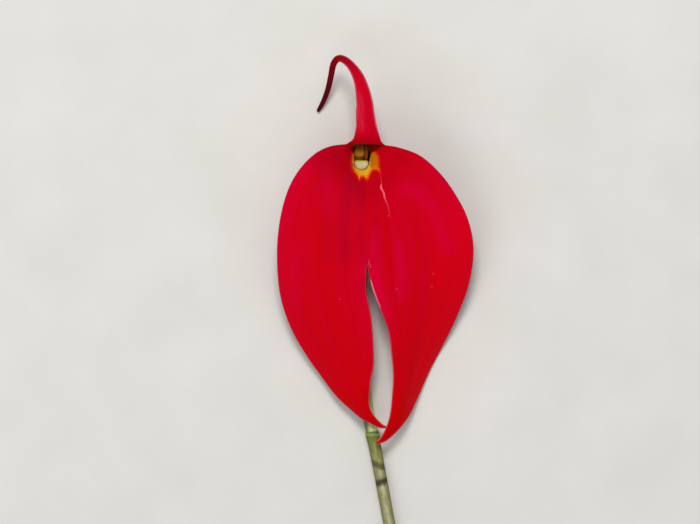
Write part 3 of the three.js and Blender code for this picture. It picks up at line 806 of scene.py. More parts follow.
back_skin = relaxed(back_skin, 0.6 * bell(from_notch, NOTCH_REACH), NOTCH_TIMES)
print("cords up to", cords.max().round(2), "mm high; throat swells", throat.max().round(2), "mm")

# %% [markdown]
# ## Sepals: closing the skin
#
# The two skins are joined along every free edge. Inside, the tube gets a floor. Outside, it goes
# on as the solid foot that sits on the ovary. The foot begins as wide as the tube ends, and the
# small step between their radii is eased out below, so no seam shows. The whole is one closed
# body, and what would dip below the table is pressed flat against it.

# %% Join the skins
SKIN = len(sheet)
directed = {(a, b) for k in range(4) for a, b in quads[:, [k, (k + 1) % 4]].tolist()}
rim = sorted(e for e in directed if e[::-1] not in directed and not set(e) <= set(tube_end))
sepal_faces = quads.tolist() + (quads[:, ::-1] + SKIN).tolist()
sepal_faces += [[b, a, a + SKIN, b + SKIN] for a, b in rim]
print("free edges joined:", len(rim))

# %% Add the foot
BASE_DEPTH = 20.0
TUBE_BASE_RADII = [
    (11.0, 3.5), (12.8, 3.25), (14.6, 3.1), (16.2, 3.0), (17.6, 2.95), (18.7, 2.85),
    (19.6, 2.35), (20.0, 1.75),
]
STEP_EASED_OVER = 2.5  # mm below the tube's end
base_radius = eased(TUBE_BASE_RADII, reach=0.25)
foot_depths = np.concatenate([np.linspace(11.4, 18.4, 18), np.linspace(18.6, BASE_DEPTH, 9)])


def foot_ring(depth):
    """A ring of the solid foot, with low ribs that fade out above the ovary."""
    low_ribs = 0.10 * np.cos(3 * ring_angle) ** 2 * smooth_step(depth, 20.0, 17.0)
    reach = float(base_radius(depth)) - 0.05 + low_ribs
    return in_tube(depth, reach * np.cos(ring_angle), reach * np.sin(ring_angle))


step_at_join = back_skin[tube_end] - foot_ring(TUBE_DEPTH)
foot = [
    foot_ring(depth) + step_at_join * max(0, 1 - (depth - TUBE_DEPTH) / STEP_EASED_OVER) ** 2
    for depth in foot_depths
]
foot_numbers = 2 * SKIN + np.arange(len(foot) * RING_COUNT).reshape(len(foot), RING_COUNT)
foot_rings = [[n + SKIN for n in tube_end]] + foot_numbers.tolist()
for a, b in zip(foot_rings[:-1], foot_rings[1:]):
    sepal_faces += [[a[i - 1], a[i], b[i], b[i - 1]] for i in range(RING_COUNT)]
inside_middle, foot_middle = 2 * SKIN + foot_numbers.size, 2 * SKIN + foot_numbers.size + 1
last = foot_rings[-1]
sepal_faces += [[inside_middle, tube_end[i], tube_end[i - 1]] for i in range(RING_COUNT)]
sepal_faces += [[last[i - 1], last[i], foot_middle] for i in range(RING_COUNT)]
middles = [face_skin[tube_end].mean(axis=0), foot[-1].mean(axis=0)]
sepal_points = np.vstack([face_skin, back_skin, *foot, middles])
sepal_points[:, 2] = np.maximum(sepal_points[:, 2], 0)
print("sepal faces:", len(sepal_faces))

# %% [markdown]
# ## Sepals: where the marks go
#
# The throat is yellow, with flames that reach out between the red. Their border is drawn as a
# closed line seen from above, and every point of the skin stores how far inside it lies. Dusky
# lines run down from the throat, and elsewhere the red clouds over to crimson. Both are drawn as
# lines with a soft width. The finish turns what is stored into soft or ragged colour.

# %% The lines of the marks
FLAME_BORDER = [
    (-2.6, 4.5), (-2.9, 3.7), (-3.35, 2.8), (-3.55, 1.0), (-3.3, -0.6), (-2.9, -1.7), (-2.2, -2.6),
    (-1.4, -3.8), (-0.9, -3.1), (-0.2, -3.2), (0.6, -4.05), (1.0, -3.0), (1.5, -2.0),
    (2.1, -1.35), (2.9, -1.4), (3.75, -2.1), (3.65, -1.0), (3.6, 0.6), (3.45, 2.2),
    (2.7, 3.1), (1.5, 4.0), (0.9, 4.4), (-1.0, 4.5),
]
DUSKY = [  # points (x, y) of a line, half width in mm, strength
    ([(-4.3, -5), (-5.0, -11), (-5.3, -17), (-5.0, -24)], 1.6, 1.0),
    ([(-1.6, -5), (-1.2, -12), (-0.9, -19), (-0.3, -24)], 1.2, 0.5),
    ([(1.8, -4.5), (2.6, -9), (2.9, -14), (3.1, -20)], 0.8, 0.5),
    ([(-10.8, 0), (-10.2, -6), (-9.6, -14), (-8.8, -24)], 1.8, 0.5),
]
CRIMSON = [  # the same
    ([(10, -6), (13.5, -6.5), (17.5, -11), (19, -16), (21, -22)], 2.0, 0.8),
    ([(8.4, -20), (9.1, -28), (8.8, -34)], 1.3, 1.0),
    ([(-9.4, -4), (-9.2, -12)], 1.6, 0.7),
    ([(-17.5, -20), (-17.3, -36)], 1.5, 0.5),
    ([(2.6, -17), (2.2, -23), (2.9, -29), (3.9, -33), (5.4, -38)], 1.2, 0.9),
]
print(len(FLAME_BORDER), "border points,", len(DUSKY), "dusky lines,", len(CRIMSON), "clouds")


# %% How far each point lies from the lines
def distance_to_line(places, line):
    """Distance from each place (x, y) to a line of points."""
    best = np.full(len(places), 1e9)
    for a, b in zip(line[:-1], line[1:]):
        a, b = np.array(a, float), np.array(b, float)
        share = np.clip(((places - a) @ (b - a)) / np.dot(b - a, b - a), 0, 1)
        nearest = a + share[:, None] * (b - a)
        best = np.minimum(best, np.linalg.norm(places - nearest, axis=1))
    return best


def inside(places, border):
    """True for each place (x, y) inside a closed border."""
    result = np.zeros(len(places), bool)
    for (ax, ay), (bx, by) in zip(border, border[1:] + border[:1]):
        if ay == by:
            continue
        crossing = ax + (places[:, 1] - ay) * (bx - ax) / (by - ay)
        between = (places[:, 1] < ay) != (places[:, 1] < by)
        result ^= between & (places[:, 0] < crossing)
    return result


places = sepal_points[:, :2]
flame = distance_to_line(places, FLAME_BORDER + FLAME_BORDER[:1])
flame = np.where(inside(places, FLAME_BORDER), flame, -flame)


def marked(lines):
    """How strongly each place is marked by lines that fade out at their lower ends."""
    total = np.zeros(len(places))
    for line, half_width, strength in lines:
        ends = smooth_step(places[:, 1], line[-1][1] - 4, line[-1][1] + 3)
        total += strength * ends * bell(distance_to_line(places, line), half_width)
    return total


dusky, crimson = marked(DUSKY), marked(CRIMSON)
print("flame reaches", flame.max().round(2), "mm in")

# %% [markdown]
# ## Sepals: the finish
#
# The face is velvety scarlet. Under a lens it is a pavement of tiny domed cells, which scatter
# light and hide nearly all gloss. Its colour runs in fine streaks along the blade, scarlet and
# crimson, with a pinker margin that is painted sheen and a thin dusky rim. Painted shade darkens
# the shoulders of the side sepals, the base of the upper sepal where it rolls over the throat,
# and the upper sepal towards its tail and the tail itself; pale streaks on its left are painted
# sheen. The hood's brown shade in the throat is painted too, and deep in the tube a pale colour
# stands in for light that shines through the thin wall. The slit has a pale torn rim near its
# upper end. The back is duller and paler, with darker veins, and the tube turns yellow-green
# towards the ovary. All of it is painted by nodes from the facts stored on the points, so it
# needs no image.

# %% The face of the sepals
velvet = Finish("sepal_velvet", Roughness=0.6, Specular_IOR_Level=0.12,
                Specular_Tint=paint(255, 60, 90), Sheen_Weight=0.03, Sheen_Roughness=0.4,
                Sheen_Tint=paint(255, 40, 100))
f = velvet
f_across, f_along, f_side, f_edge = f.facts("across", "along", "side", "edge")
f_mouth, f_flame, f_skin = f.facts("mouth", "flame_depth", "skin")
f_vein, f_dusky, f_crimson = f.facts("vein", "dusky", "crimson")
on_sides, on_upper = abs(f_side).fade(0.3, 0.7), abs(f_side).fade(0.5, 0.2)
upper_blade = on_upper * f_mouth.fade(2.0, 5.0)
fine = f.noise(f.vector(f_across * 26, f_along * 5, f_side * 7), detail=4, roughness=0.6)
broad = f.noise(f.vector(f_across * 4, f_along * 1.8, f_side * 5 + 0.5), detail=2)
threads = f.noise(f.vector(f_across * 60, f_along * 9, 3.0), detail=3)
bands = fine * 0.45 + broad * 0.55
# Painted shade: the shoulders of the side sepals beside the throat are darker, the left one more
# than the right.
shoulder_shade = f.glaze((168, 0, 20), (f_side.fade(-0.5, 0.5), (184, 0, 16)))
glow = f_side.fade(0.3, 0.7) * f_across.fade(0.5, 0.72)
glow = glow * f_along.fade(0.2, 0.36) * f_along.fade(0.86, 0.6)
# Painted sheen: pale streaks on the left of the upper sepal.
sheen_streaks_left = upper_blade * f_across.fade(0.05, 0.2) * f_across.fade(0.52, 0.3)
sheen_streaks_left = sheen_streaks_left * f_mouth.fade(15.0, 10.0) * threads.fade(0.42, 0.66)
face = f.glaze(
    bands.ramp((0.38, 208, 2, 8), (0.50, 206, 1, 24), (0.63, 209, 0, 40)),
    (f_along.fade(0.35, 0.8, high=0.85), (198, 1, 2)),
    # painted sheen: the pinker margin of the blades
    (f_edge.fade(6.0, 0.3, high=0.4) * f_along.fade(0.75, 0.4), (212, 0, 48)),
    (f_along.fade(0.22, 0.04, high=0.9) * on_sides, shoulder_shade),
    (f_along.fade(0.74, 0.96, high=0.5), (176, 0, 6)),
    (glow * 0.6, (224, 1, 20)),
    (f_crimson * 0.45, (220, 0, 66)),
    (f_dusky * 0.45, (164, 2, 44)),
    (f_vein * 0.10, (150, 0, 30)),
    (on_upper * 0.55, (186, 1, 30)),
    # painted shade where the base of the upper sepal rolls over the throat as a hood
    (on_upper * f_mouth.fade(4.0, 0.5, high=0.8), (172, 2, 8)),
    # painted shade: the upper sepal darkens as it bends over into its tail
    (on_upper * f_mouth.fade(14.0, 24.0, high=0.7), (160, 0, 34)),
    (sheen_streaks_left * 0.65, (216, 62, 92)),
)
print("the face has", len(f.tree.nodes), "nodes so far")

# %% Rims and specks
tail_rim = f_along.fade(0.84, 0.93) * f_edge.fade(0.45, 0.12, high=0.8)
upper_rim = f_edge.fade(0.6, 0.15, high=0.7) * threads.fade(0.4, 0.6)
upper_rim = upper_rim * upper_blade * f_mouth.fade(24.0, 16.0)
rim = f_edge.fade(0.38, 0.10, high=0.8).at_least(tail_rim).at_least(upper_rim)
rim_colour = f.glaze(
    (168, 28, 66),
    (f_along.fade(0.25, 0.9), (214, 120, 120)),
    (upper_blade * fine.fade(0.4, 0.6), (220, 150, 165)),
)
face = f.glaze(
    face,
    (f.cells(0.16).fade(0.055, 0.03, high=0.4), (226, 60, 84)),
    (rim * f_mouth.fade(1.0, 3.0), rim_colour),
    (on_sides * f_along.fade(0.955, 0.985, high=0.8), (190, 22, 6)),
)
print("rims and specks laid on")

# %% The throat
f_x, f_y = f.place(0), f.place(1)
f_depth = f_flame + (fine - 0.5) * 1.5
near_throat = f_mouth.fade(4.5, 3.0) * f_depth.fade(-0.8, -0.2)
reach_in = f_depth.fade(-0.9, 1.7)
flames = reach_in.ramp((0.20, 200, 4, 24), (0.34, 214, 56, 18), (0.5, 226, 130, 20),
                       (0.75, 228, 176, 36), (1.0, 214, 180, 50))
amber = reach_in.ramp((0.20, 196, 4, 20), (0.40, 206, 62, 6), (0.7, 206, 104, 8),
                      (1.0, 180, 108, 10))
right_wall = f_x.fade(0.8, 1.7) * f_y.fade(-1.7, -0.3)
slant = (f_x - 1.2).at_least(0.0) * 0.5
hood_shade = f_mouth.fade(0.3, -0.1, high=0.92) * (f_y - slant).fade(2.3, 3.1)
hood_shade = hood_shade * f_x.fade(4.8, 3.4) * f_x.fade(-4.0, -2.9)
shade_colour = f.glaze(
    (140, 0, 16),
    (f_x.fade(-3.3, -1.9), (116, 60, 4)),
    (f_x.fade(-0.8, 1.2), (106, 14, 6)),
)
torn = f_edge.fade(0.55, 0.15, high=0.8) * fine.fade(0.36, 0.5)
torn = torn * f_y.fade(-28.0, -29.4) * f_y.fade(-36.4, -34.6)
torn = torn * f_x.fade(1.1, 1.6) * f_x.fade(6.0, 5.0)
face = f.glaze(
    face,
    (near_throat, f.glaze(flames, (right_wall, amber))),
    (hood_shade, shade_colour),
    (torn, (232, 150, 160)),
    # painted light: deep in the tube the wall is pale, standing in for light that shines through
    # its thin wall
    (f_mouth.fade(-2.6, -5.0), (238, 178, 90)),
)
print("throat painted:", len(f.tree.nodes), "nodes")

# %% The back of the sepals, and their relief
down_tube = f_mouth.fade(-1.0, -20.0)
tube_side = f.glaze(
    down_tube.ramp((0.0, 182, 26, 50), (0.35, 196, 70, 52), (0.7, 178, 140, 66),
                   (1.0, 128, 150, 62)),
    (fine.fade(0.5, 0.72, high=0.5), (140, 20, 40)),
)
back = f.glaze(
    (176, 18, 48),
    (broad, (190, 34, 52)),
    (fine.fade(0.62, 0.74, high=0.45).at_least(f_vein) * 0.7, (118, 4, 30)),
    (f_edge.fade(0.4, 0.05, high=0.7) * f_mouth.fade(1.0, 3.0), (196, 96, 104)),
    (f_mouth.fade(1.5, -1.5), tube_side),
)
# Painted shade: the tail is coloured dark red, darkest towards its tip, as it falls away into
# shade.
tail_shade_colour = f.glaze((136, 2, 12), (f_along.fade(0.6, 1.0), (72, 12, 22)))
skin_colour = f.glaze(
    back,
    (f_skin.fade(-0.3, 0.3), face),
    (f_along.fade(0.45, 0.72) * on_upper, tail_shade_colour),
)
domes = f.bump(f.cells(9.0), 0.02, strength=0.35)
relief = f.bump(fine, 0.12, strength=0.25, under=domes)
velvet.wear(skin_colour, relief, broad.fade(0.3, 0.7, low=0.5, high=0.66))
print("the sepals' finish has", len(f.tree.nodes), "nodes")

# %% Make the sepals
FOOT_EDGE = 5.0  # mm, so that no rim is painted there
foot_mouth = -np.append(np.repeat(foot_depths, RING_COUNT), [TUBE_DEPTH, BASE_DEPTH])
foot_across, foot_side = (
    np.append(np.tile(fact, len(foot_depths)), [0, 0]) for fact in (ring_across, ring_side)
)
foot_facts = facts_of(
    foot_mouth.shape, foot_across, foot_mouth / TUBE_ALONG, foot_side, FOOT_EDGE, foot_mouth, 0.0
)
all_facts = np.vstack([facts, facts, foot_facts])
all_across, all_along, all_side, all_edge, all_mouth, _ = all_facts.T
is_face = np.concatenate([np.ones(SKIN), -np.ones(len(sepal_points) - SKIN)])
is_face[-2] = 1.0  # the middle of the tube's floor
all_vein = np.concatenate([vein, vein, np.zeros(len(foot_mouth))])
sepals = new_piece(
    "sepal_skin", sepal_points, facing_out(sepal_points, sepal_faces), velvet, "sepal", "sepals",
    across=all_across, along=all_along, side=all_side, edge=all_edge, mouth=all_mouth,
    skin=is_face, vein=all_vein, flame_depth=flame, dusky=dusky, crimson=crimson,
)

# %% [markdown]
# ## A small tear and the frayed fork
#
# The right sepal carries a healed tear near the throat, a thin pale ridge that bends twice, and
# the skin is a little frayed where the slit begins. Paint alone would look flat in raking light.
# These are narrow ribbons instead. Their course is drawn from above, and each of their points is
# let fall onto the finished sepal, so they lie on it everywhere.

# %% Ribbons let fall on the sepals
TEAR = [
    (3.75, -1.9, 0.02), (3.9, -3.2, 0.03), (4.1, -4.5, 0.05), (4.0, -5.1, 0.16),
    (4.0, -5.8, 0.27), (4.35, -6.5, 0.25), (4.75, -7.3, 0.24), (4.8, -8.0, 0.22),
    (5.05, -8.7, 0.14), (5.4, -9.5, 0.09), (5.8, -10.6, 0.05), (6.3, -13.2, 0.02),
]  # x, y and half width
FRAYS = [
    [(0.9, -25.0, 0.06), (1.0, -24.4, 0.07), (0.95, -23.9, 0.05), (1.05, -23.5, 0.02)],
    [(1.3, -25.7, 0.05), (1.4, -25.2, 0.06), (1.3, -24.7, 0.02)],
]
sepal_tree = BVHTree.FromObject(sepals, bpy.context.evaluated_depsgraph_get())


def height_on_sepals(x, y):
    """Height in mm of the sepals' upper face at a place seen from above."""
    start = Vector(in_metres((x, y, 40)))
    hit = sepal_tree.ray_cast(start, Vector((0, 0, -1)))[0]
    return hit.z * 1000


def ribbon(line, height):
    """A thin raised ribbon along a line of x, y and half width."""
    table = spline(line)(np.linspace(0, len(line) - 1, 12 * len(line)))
    ahead = np.gradient(table[:, :2], axis=0)
    ahead /= np.linalg.norm(ahead, axis=1)[:, None]
    sideways = np.stack([-ahead[:, 1], ahead[:, 0]], axis=1)
    section = [(-1, 0), (-0.6, 0.7), (0, 1), (0.6, 0.7), (1, 0), (0, -0.6)]
    rings = []
    for (x, y, half_width), across_it in zip(table, sideways):
        z = height_on_sepals(x, y)
        rings.append([
            (x + half_width * u * across_it[0], y + half_width * u * across_it[1], z + height * v)
            for u, v in section
        ])
    return loft(rings)


def joined(parts):
    """Several meshes as one."""
    points, faces, count = [], [], 0
    for some_points, some_faces in parts:
        points.append(some_points)
        faces += [[n + count for n in face] for face in some_faces]
        count += len(some_points)
    return np.vstack(points), faces


print("beside the seam the blade is", round(height_on_sepals(8, -20), 1), "mm high")

# %% Tear and frays
scar = Finish("healed_tear", Roughness=0.5, Specular_IOR_Level=0.25)
scar_grain = scar.noise(scar.millimetres(), scale=3.0)
scar_colour = scar_grain.ramp((0.3, 236, 66, 84), (0.6, 250, 110, 124))
scar.wear(scar_colour, scar.bump(scar_grain, 0.05))
new_piece("tear", *ribbon(TEAR, 0.09), scar, "sepal")
new_piece("frays", *joined([ribbon(line, 0.05) for line in FRAYS]), scar, "sepal")

# %% [markdown]
# ## Organs in the throat: one way to make four
#
# Lip, column and both petals all stand in the tube, so all are drawn the same way: rings across
# the bent axis, each with a depth, a place and a size, and a function that gives the ring its
# outline. The rings close over a rounded tip. Each point keeps how near the tip it lies and how
# high or low it lies on its organ, which is all that the finishes need.

# %% The organ helper
ORGAN_SIDES, DOME_RINGS = 64, 14
DOME_BLUNT = 0.75  # 1 would be a round tip, less is blunter


def organ(stations, shape, rings=64, tip=0.3):
    """An organ in the tube. A station is depth, x, dorsal, half width and half height."""
    table = spline(stations)(np.linspace(0, len(stations) - 1, rings))
    share = np.linspace(0, 1, rings)
    end = table[-1]
    for turn_in in np.linspace(0, math.pi / 2, DOME_RINGS + 2)[1:-1]:
        size = math.cos(turn_in) ** DOME_BLUNT
        depth = end[0] - tip * math.sin(turn_in)
        table = np.vstack([table, [depth, end[1], end[2], end[3] * size, end[4] * size]])
        share = np.append(share, 1 + 0.02 * math.sin(turn_in))
    depth, x, dorsal, half_width, half_height = (column[:, None] for column in table.T)
    angle = (2 * np.pi * np.arange(ORGAN_SIDES) / ORGAN_SIDES)[None]
    out_x, out_y = shape(angle, share[:, None])
    points, faces = loft(in_tube(depth, x + half_width * out_x, dorsal + half_height * out_y))
    share = np.append(np.repeat(share, ORGAN_SIDES), [0, 1.02])
    facing = (half_height * out_y / half_height.max() * np.ones((1, ORGAN_SIDES))).ravel()
    return points, faces, {"share": share, "facing": np.append(facing, [0, 0])}


# %% [markdown]
# ## The lip
#
# The lip is the small cream tongue at the bottom of the throat. It is hinged at its base and
# swells to a blunt, rounded front. Its upper side has a shallow channel between two low keels.
# It is a soft, waxy tissue that lets a little light through, so the shader gets a touch of
# subsurface light, and the front is finely pimpled.

# %% Lip
LIP = [
    (10.65, 0.0, -1.35, 0.8, 0.4), (8.0, -0.05, -1.5, 0.95, 0.4), (5.5, -0.1, -1.6, 1.3, 0.7),
    (4.1, -0.2, -1.42, 1.62, 1.4), (3.3, -0.28, -1.32, 1.74, 1.66), (2.75, -0.3, -1.3, 1.74, 1.68),
]


def lip_shape(angle, share):
    off_top = np.abs(angle - math.pi / 2)
    channel = bell(off_top, 0.5) * (1 - 0.5 * smooth_step(share, 0.8, 1.0))
    keels = bell(off_top - 0.85, 0.25)
    up = np.sin(angle)
    flat_top = np.where(up > 0, 0.44 * np.abs(up) ** 0.6, up)
    return np.cos(angle), flat_top - 0.08 * channel + 0.04 * keels


lip_wax = Finish("lip_wax", Roughness=0.42, Specular_IOR_Level=0.35,
                 Subsurface_Weight=0.15, Subsurface_Scale=0.0006)
f = lip_wax
f_share, f_facing = f.facts("share", "facing")
cloud = f.noise(f.millimetres(), scale=1.1, detail=3)
cream = f.glaze(
    cloud.ramp((0.3, 204, 188, 144), (0.7, 214, 204, 164)),
    (f_facing.fade(-0.1, 0.36) * cloud.fade(0.2, 0.5, low=0.7), (176, 170, 50)),
    (f_share.fade(0.75, 0.35), (240, 190, 104)),
    (f.cells(1.3).fade(0.16, 0.08, high=0.35), (130, 110, 110)),
)
lip_wax.wear(cream, f.bump(f.cells(5.0), 0.03, strength=0.5))
points, faces, lip_facts = organ(LIP, lip_shape, tip=0.65)
new_piece("lip_tongue", points, faces, lip_wax, "lip", "lip", **lip_facts)

# %% [markdown]
# ## The column and its cap
#
# Above the lip stands the column, where stamen and pistil are grown into one. It is round on its
# back, flatter and slightly hollow below, with a thin wing along each side. Its end carries the
# anther cap, a small lid with a groove down its middle that hides the pollen. The cap is a piece
# of its own, because on the flower it comes off.

# %% The shapes of column and cap
COLUMN = [
    (10.65, -0.1, 1.1, 0.8, 0.85), (8.0, -0.3, 1.1, 0.9, 1.0), (6.2, -0.5, 0.95, 1.05, 1.45),
    (4.8, -0.7, 0.85, 1.3, 1.65), (4.0, -0.8, 1.1, 1.44, 1.85), (3.2, -0.82, 1.36, 1.46, 1.86),
]
ANTHER_CAP = [
    (3.9, -0.8, 1.9, 1.15, 1.55), (3.5, -0.8, 1.98, 1.36, 1.8), (2.9, -0.8, 2.0, 1.4, 1.86),
]


def column_shape(angle, share):
    up = np.sin(angle)
    wings = bell(up + 0.35, 0.28) * smooth_step(share, 0.2, 0.7)
    hollow = bell(angle - 1.5 * math.pi, 0.5) * bell(share - 0.86, 0.12)
    low = np.where(up < 0, 0.86, 1.0)
    return np.cos(angle) * (1 + 0.10 * wings), up * low + 0.35 * hollow


def cap_shape(angle, share):
    """A squared outline with a groove down the middle of its back."""
    groove = bell(np.abs(angle - math.pi / 2), 0.16) * 0.10
    squared = (np.sign(part) * np.abs(part) ** 0.6 for part in (np.cos(angle), np.sin(angle)))
    return tuple(part * (1 - groove) for part in squared)


print("the cap is", 2 * ANTHER_CAP[-1][3], "mm wide on a column of", 2 * COLUMN[-1][3], "mm")

# %% Column
column_wax = Finish("column_wax", Roughness=0.45, Specular_IOR_Level=0.3,
                    Subsurface_Weight=0.1, Subsurface_Scale=0.0005)
f = column_wax
f_share, f_facing = f.facts("share", "facing")
veining = f.noise(f.vector(f_facing * 5, f_share, 0.0), scale=2.2)
# Painted shade and light: the end of the column is brown, as in the shade of the hood, with a
# painted lighter underside; further down it is pale cream.
column_colour_and_shade = f.glaze(
    veining.ramp((0.3, 150, 86, 16), (0.7, 178, 116, 30)),
    (f_facing.fade(-0.2, -0.9, high=0.6), (170, 116, 24)),
    (f_share.fade(0.93, 1.0) * f_facing.fade(-0.6, -0.85), (196, 24, 8)),
    (f_share.fade(0.88, 0.7), (234, 184, 96)),
)
column_wax.wear(column_colour_and_shade, f.bump(veining, 0.05, strength=0.4))
points, faces, column_facts = organ(COLUMN, column_shape, tip=0.4)
new_piece("column_body", points, faces, column_wax, "column", "column", **column_facts)

# %% Anther cap
cap_wax = Finish("anther_cap_wax", Roughness=0.5, Specular_IOR_Level=0.2)
f = cap_wax
f_facing = f.facts("facing")[0]
cloud = f.noise(f.millimetres(), scale=1.6, detail=3)
# Painted shade: the cap is brown, darkest on its upper side, as in the shade of the hood.
cap_shaded_colour = f.glaze(
    cloud.ramp((0.3, 158, 94, 10), (0.7, 178, 114, 22)),
    (f_facing.fade(-0.6, 0.3, high=0.9), (112, 54, 2)),
)
cap_wax.wear(cap_shaded_colour, f.bump(cloud, 0.04, strength=0.5))
points, faces, cap_facts = organ(ANTHER_CAP, cap_shape, rings=30, tip=0.65)
new_piece("anther_cap", points, faces, cap_wax, "column", **cap_facts)

# %% [markdown]
# ## The petals
#
# The two true petals are hardly seen. They are narrow blades that stand upright on both sides of
# the column, edge on to whoever looks into the throat. Each is thin, with a keel along its lower
# third, and ends in a blunt tip. They are orange at their foot, and their tip is painted brown as
# shade.

# %% Petals
LEFT_PETAL = [
    (10.65, -1.6, 0.6, 0.3, 0.8), (8.5, -1.8, 0.7, 0.3, 1.0), (6.0, -2.1, 0.6, 0.3, 1.15),
    (4.6, -2.3, 0.5, 0.3, 1.2), (3.5, -2.36, 0.42, 0.3, 1.15),
]
RIGHT_PETAL = [
    (10.65, 1.4, 0.6, 0.3, 0.8), (8.5, 1.3, 0.8, 0.3, 1.1), (5.5, 1.2, 1.0, 0.32, 1.35),
    (3.8, 0.98, 1.45, 0.46, 1.95), (2.9, 0.93, 1.5, 0.54, 2.05),
]


def petal_shape(angle, share):
    keel = bell(np.abs(angle - 1.36 * math.pi), 0.22) + bell(np.abs(angle - 1.64 * math.pi), 0.22)
    blade = np.sign(np.cos(angle)) * np.abs(np.cos(angle)) ** 1.25
    return blade * (1 + 0.55 * keel), np.sin(angle)


petal_skin = Finish("petal_skin", Roughness=0.5, Specular_IOR_Level=0.15,
                    Subsurface_Weight=0.2, Subsurface_Scale=0.0005)
f = petal_skin
f_share, f_facing = f.facts("share", "facing")
lines = f.noise(f.vector(f_facing * 6, f_share, 0.0), scale=2.5)
petal_colour = f.glaze(
    lines.ramp((0.35, 214, 128, 52), (0.65, 232, 168, 84)),
    # painted shade: the tip is brown
    (f_share.fade(0.8, 0.97, high=0.97), (116, 52, 4)),
)
petal_skin.wear(petal_colour, f.bump(lines, 0.06, strength=0.5))
for name, stations, node in (("petal_blade_left", LEFT_PETAL, "petal_left"),
                             ("petal_blade_right", RIGHT_PETAL, "petal_right")):
    points, faces, petal_facts = organ(stations, petal_shape, tip=0.55)
    new_piece(name, points, faces, petal_skin, "petal", node, **petal_facts)

# %% [markdown]
# ## The ovary
#
# Behind the flower sits the ovary, where seeds would ripen. It has six rounded ribs with a fine
# furrow between each two, and it tapers into the stalk. A lathe shape would lose the ribs, so
# each ring is a six-lobed outline. Its upper end reaches a little way into the foot of the tube,
# because on a flower the two are grown together.

# %% Ovary
OVARY_LENGTH, OVARY_HEIGHT, OVARY_RIBS = 10.0, 2.0, 6
OVARY_SIDES = 120
OVARY_INTO_TUBE = 0.38
ovary_radius = eased([(0.0, 1.45), (0.5, 1.65), (2.5, 1.8), (5.5, 1.8), (8.5, 1.5), (10.0, 1.15)])
down = np.concatenate([
    [-OVARY_INTO_TUBE, -0.2, 0.0, 0.2], np.linspace(0.45, 9.6, 56), [9.8, 9.9, 9.97, OVARY_LENGTH],
])
to_end = np.clip((OVARY_LENGTH - down) / 0.3, 0, 1)
end_round = np.sqrt(np.clip(1 - (1 - to_end) ** 2, 0.35, 1))
angle = 2 * np.pi * np.arange(OVARY_SIDES) / OVARY_SIDES
from_top = OVARY_RIBS * (angle - math.pi / 2)
lobe = (1 - np.cos(from_top)) / 2
furrow = lobe**10
reach = (ovary_radius(down) * end_round)[:, None] - 0.22 * lobe - 0.10 * furrow
reach -= 0.03 * bell(np.cos(from_top / 2), 0.12)
ring_y = np.broadcast_to((OVARY_TOP_Y - down)[:, None], reach.shape)
ring_x, ring_z = reach * np.cos(angle), OVARY_HEIGHT + reach * np.sin(angle)
points, faces = loft(np.stack([ring_x, ring_y, ring_z], axis=-1))
furrow_fact = np.append(np.tile(furrow, len(down)), [0, 0])
down_fact = np.append(np.repeat(down, OVARY_SIDES), [0, OVARY_LENGTH]) / OVARY_LENGTH
print("ovary up to", (2 * reach.max()).round(2), "mm thick")

# %% Ovary finish
green_skin = Finish("ovary_skin", Roughness=0.42, Specular_IOR_Level=0.35,
                    Subsurface_Weight=0.08, Subsurface_Scale=0.0005)
f = green_skin
f_furrow, f_down = f.facts("furrow", "down")
grain = f.noise(f.millimetres((2.2, 0.5, 2.2)), detail=4)
green = f.glaze(
    grain.ramp((0.3, 96, 122, 46), (0.7, 136, 160, 72)),
    (f_furrow * 0.6, (70, 70, 34)),
    (f_down.fade(0.45, 0.0) * grain.fade(0.35, 0.65, high=0.8), (142, 84, 52)),
    (f.cells(2.6).fade(0.14, 0.08, high=0.45), (96, 44, 36)),
)
green_skin.wear(green, f.bump(grain, 0.06, strength=0.5))
new_piece("ovary_ribs", points, faces, green_skin, "ovary", "ovary",
          furrow=furrow_fact, down=down_fact)

# %% [markdown]
# ## The stem
#
# The bloom hangs on a thin stalk, the pedicel, which is grown onto the end of the ovary. It
# leaves the true stem at a swollen ring, the node. Everything below the node is the stem itself,
# which was cut with a slanting cut. One line on the table gives the course of all three, and a
# table gives the radius. Fine ridges run along the stem, as on any stalk that has stood in the
# sun. The end rings slant for the cut, and they sink a little, because the pith dries first.

# %% The line of the stem
STEM_LINE = [
    (0, -20.8), (-0.3, -36), (0.1, -53.75), (0.5, -61.25), (1.75, -67), (3.35, -75),
    (6.05, -89.5), (9.1, -106), (11.3, -121), (12.3, -134),
]
LYING = math.cos(math.pi / 12)  # the solid stem has twelve sides and lies on one of them
NODE_TOP_Y, BRACT_LENGTH, BRACT_RADIUS = -66.9, 12.0, 1.7  # mm
STEM_TOP_Y, STEM_CUT_Y = STEM_LINE[0][1], STEM_LINE[-1][1]
BRACT_TOP_Y = NODE_TOP_Y + BRACT_LENGTH
CUT_SLANT = 1.1  # mm that the top of the cut reaches further out than its middle
fine_line = spline(STEM_LINE)(np.linspace(0, len(STEM_LINE) - 1, 3001))


def stem_rings(y, radius, height, angle, slant=0.0):
    """Rings round the stem's line. Slant pushes each point down the stem by its rise."""
    y = np.asarray(y, float)[:, None]
    line_x, line_y = fine_line.T
    x = np.interp(-y, -line_y, line_x)
    slope = np.interp(-y, -line_y, np.gradient(line_x, line_y))
    size = np.hypot(1, slope)
    along_x, along_y = -slope / size, -1 / size
    rise, sideways = radius * np.sin(angle), radius * np.cos(angle)
    return np.stack([
        x - sideways * along_y + slant * rise * along_x,
        y + sideways * along_x + slant * rise * along_y,
        np.maximum(0, np.asarray(height, float)[:, None] + rise),
    ], axis=-1)


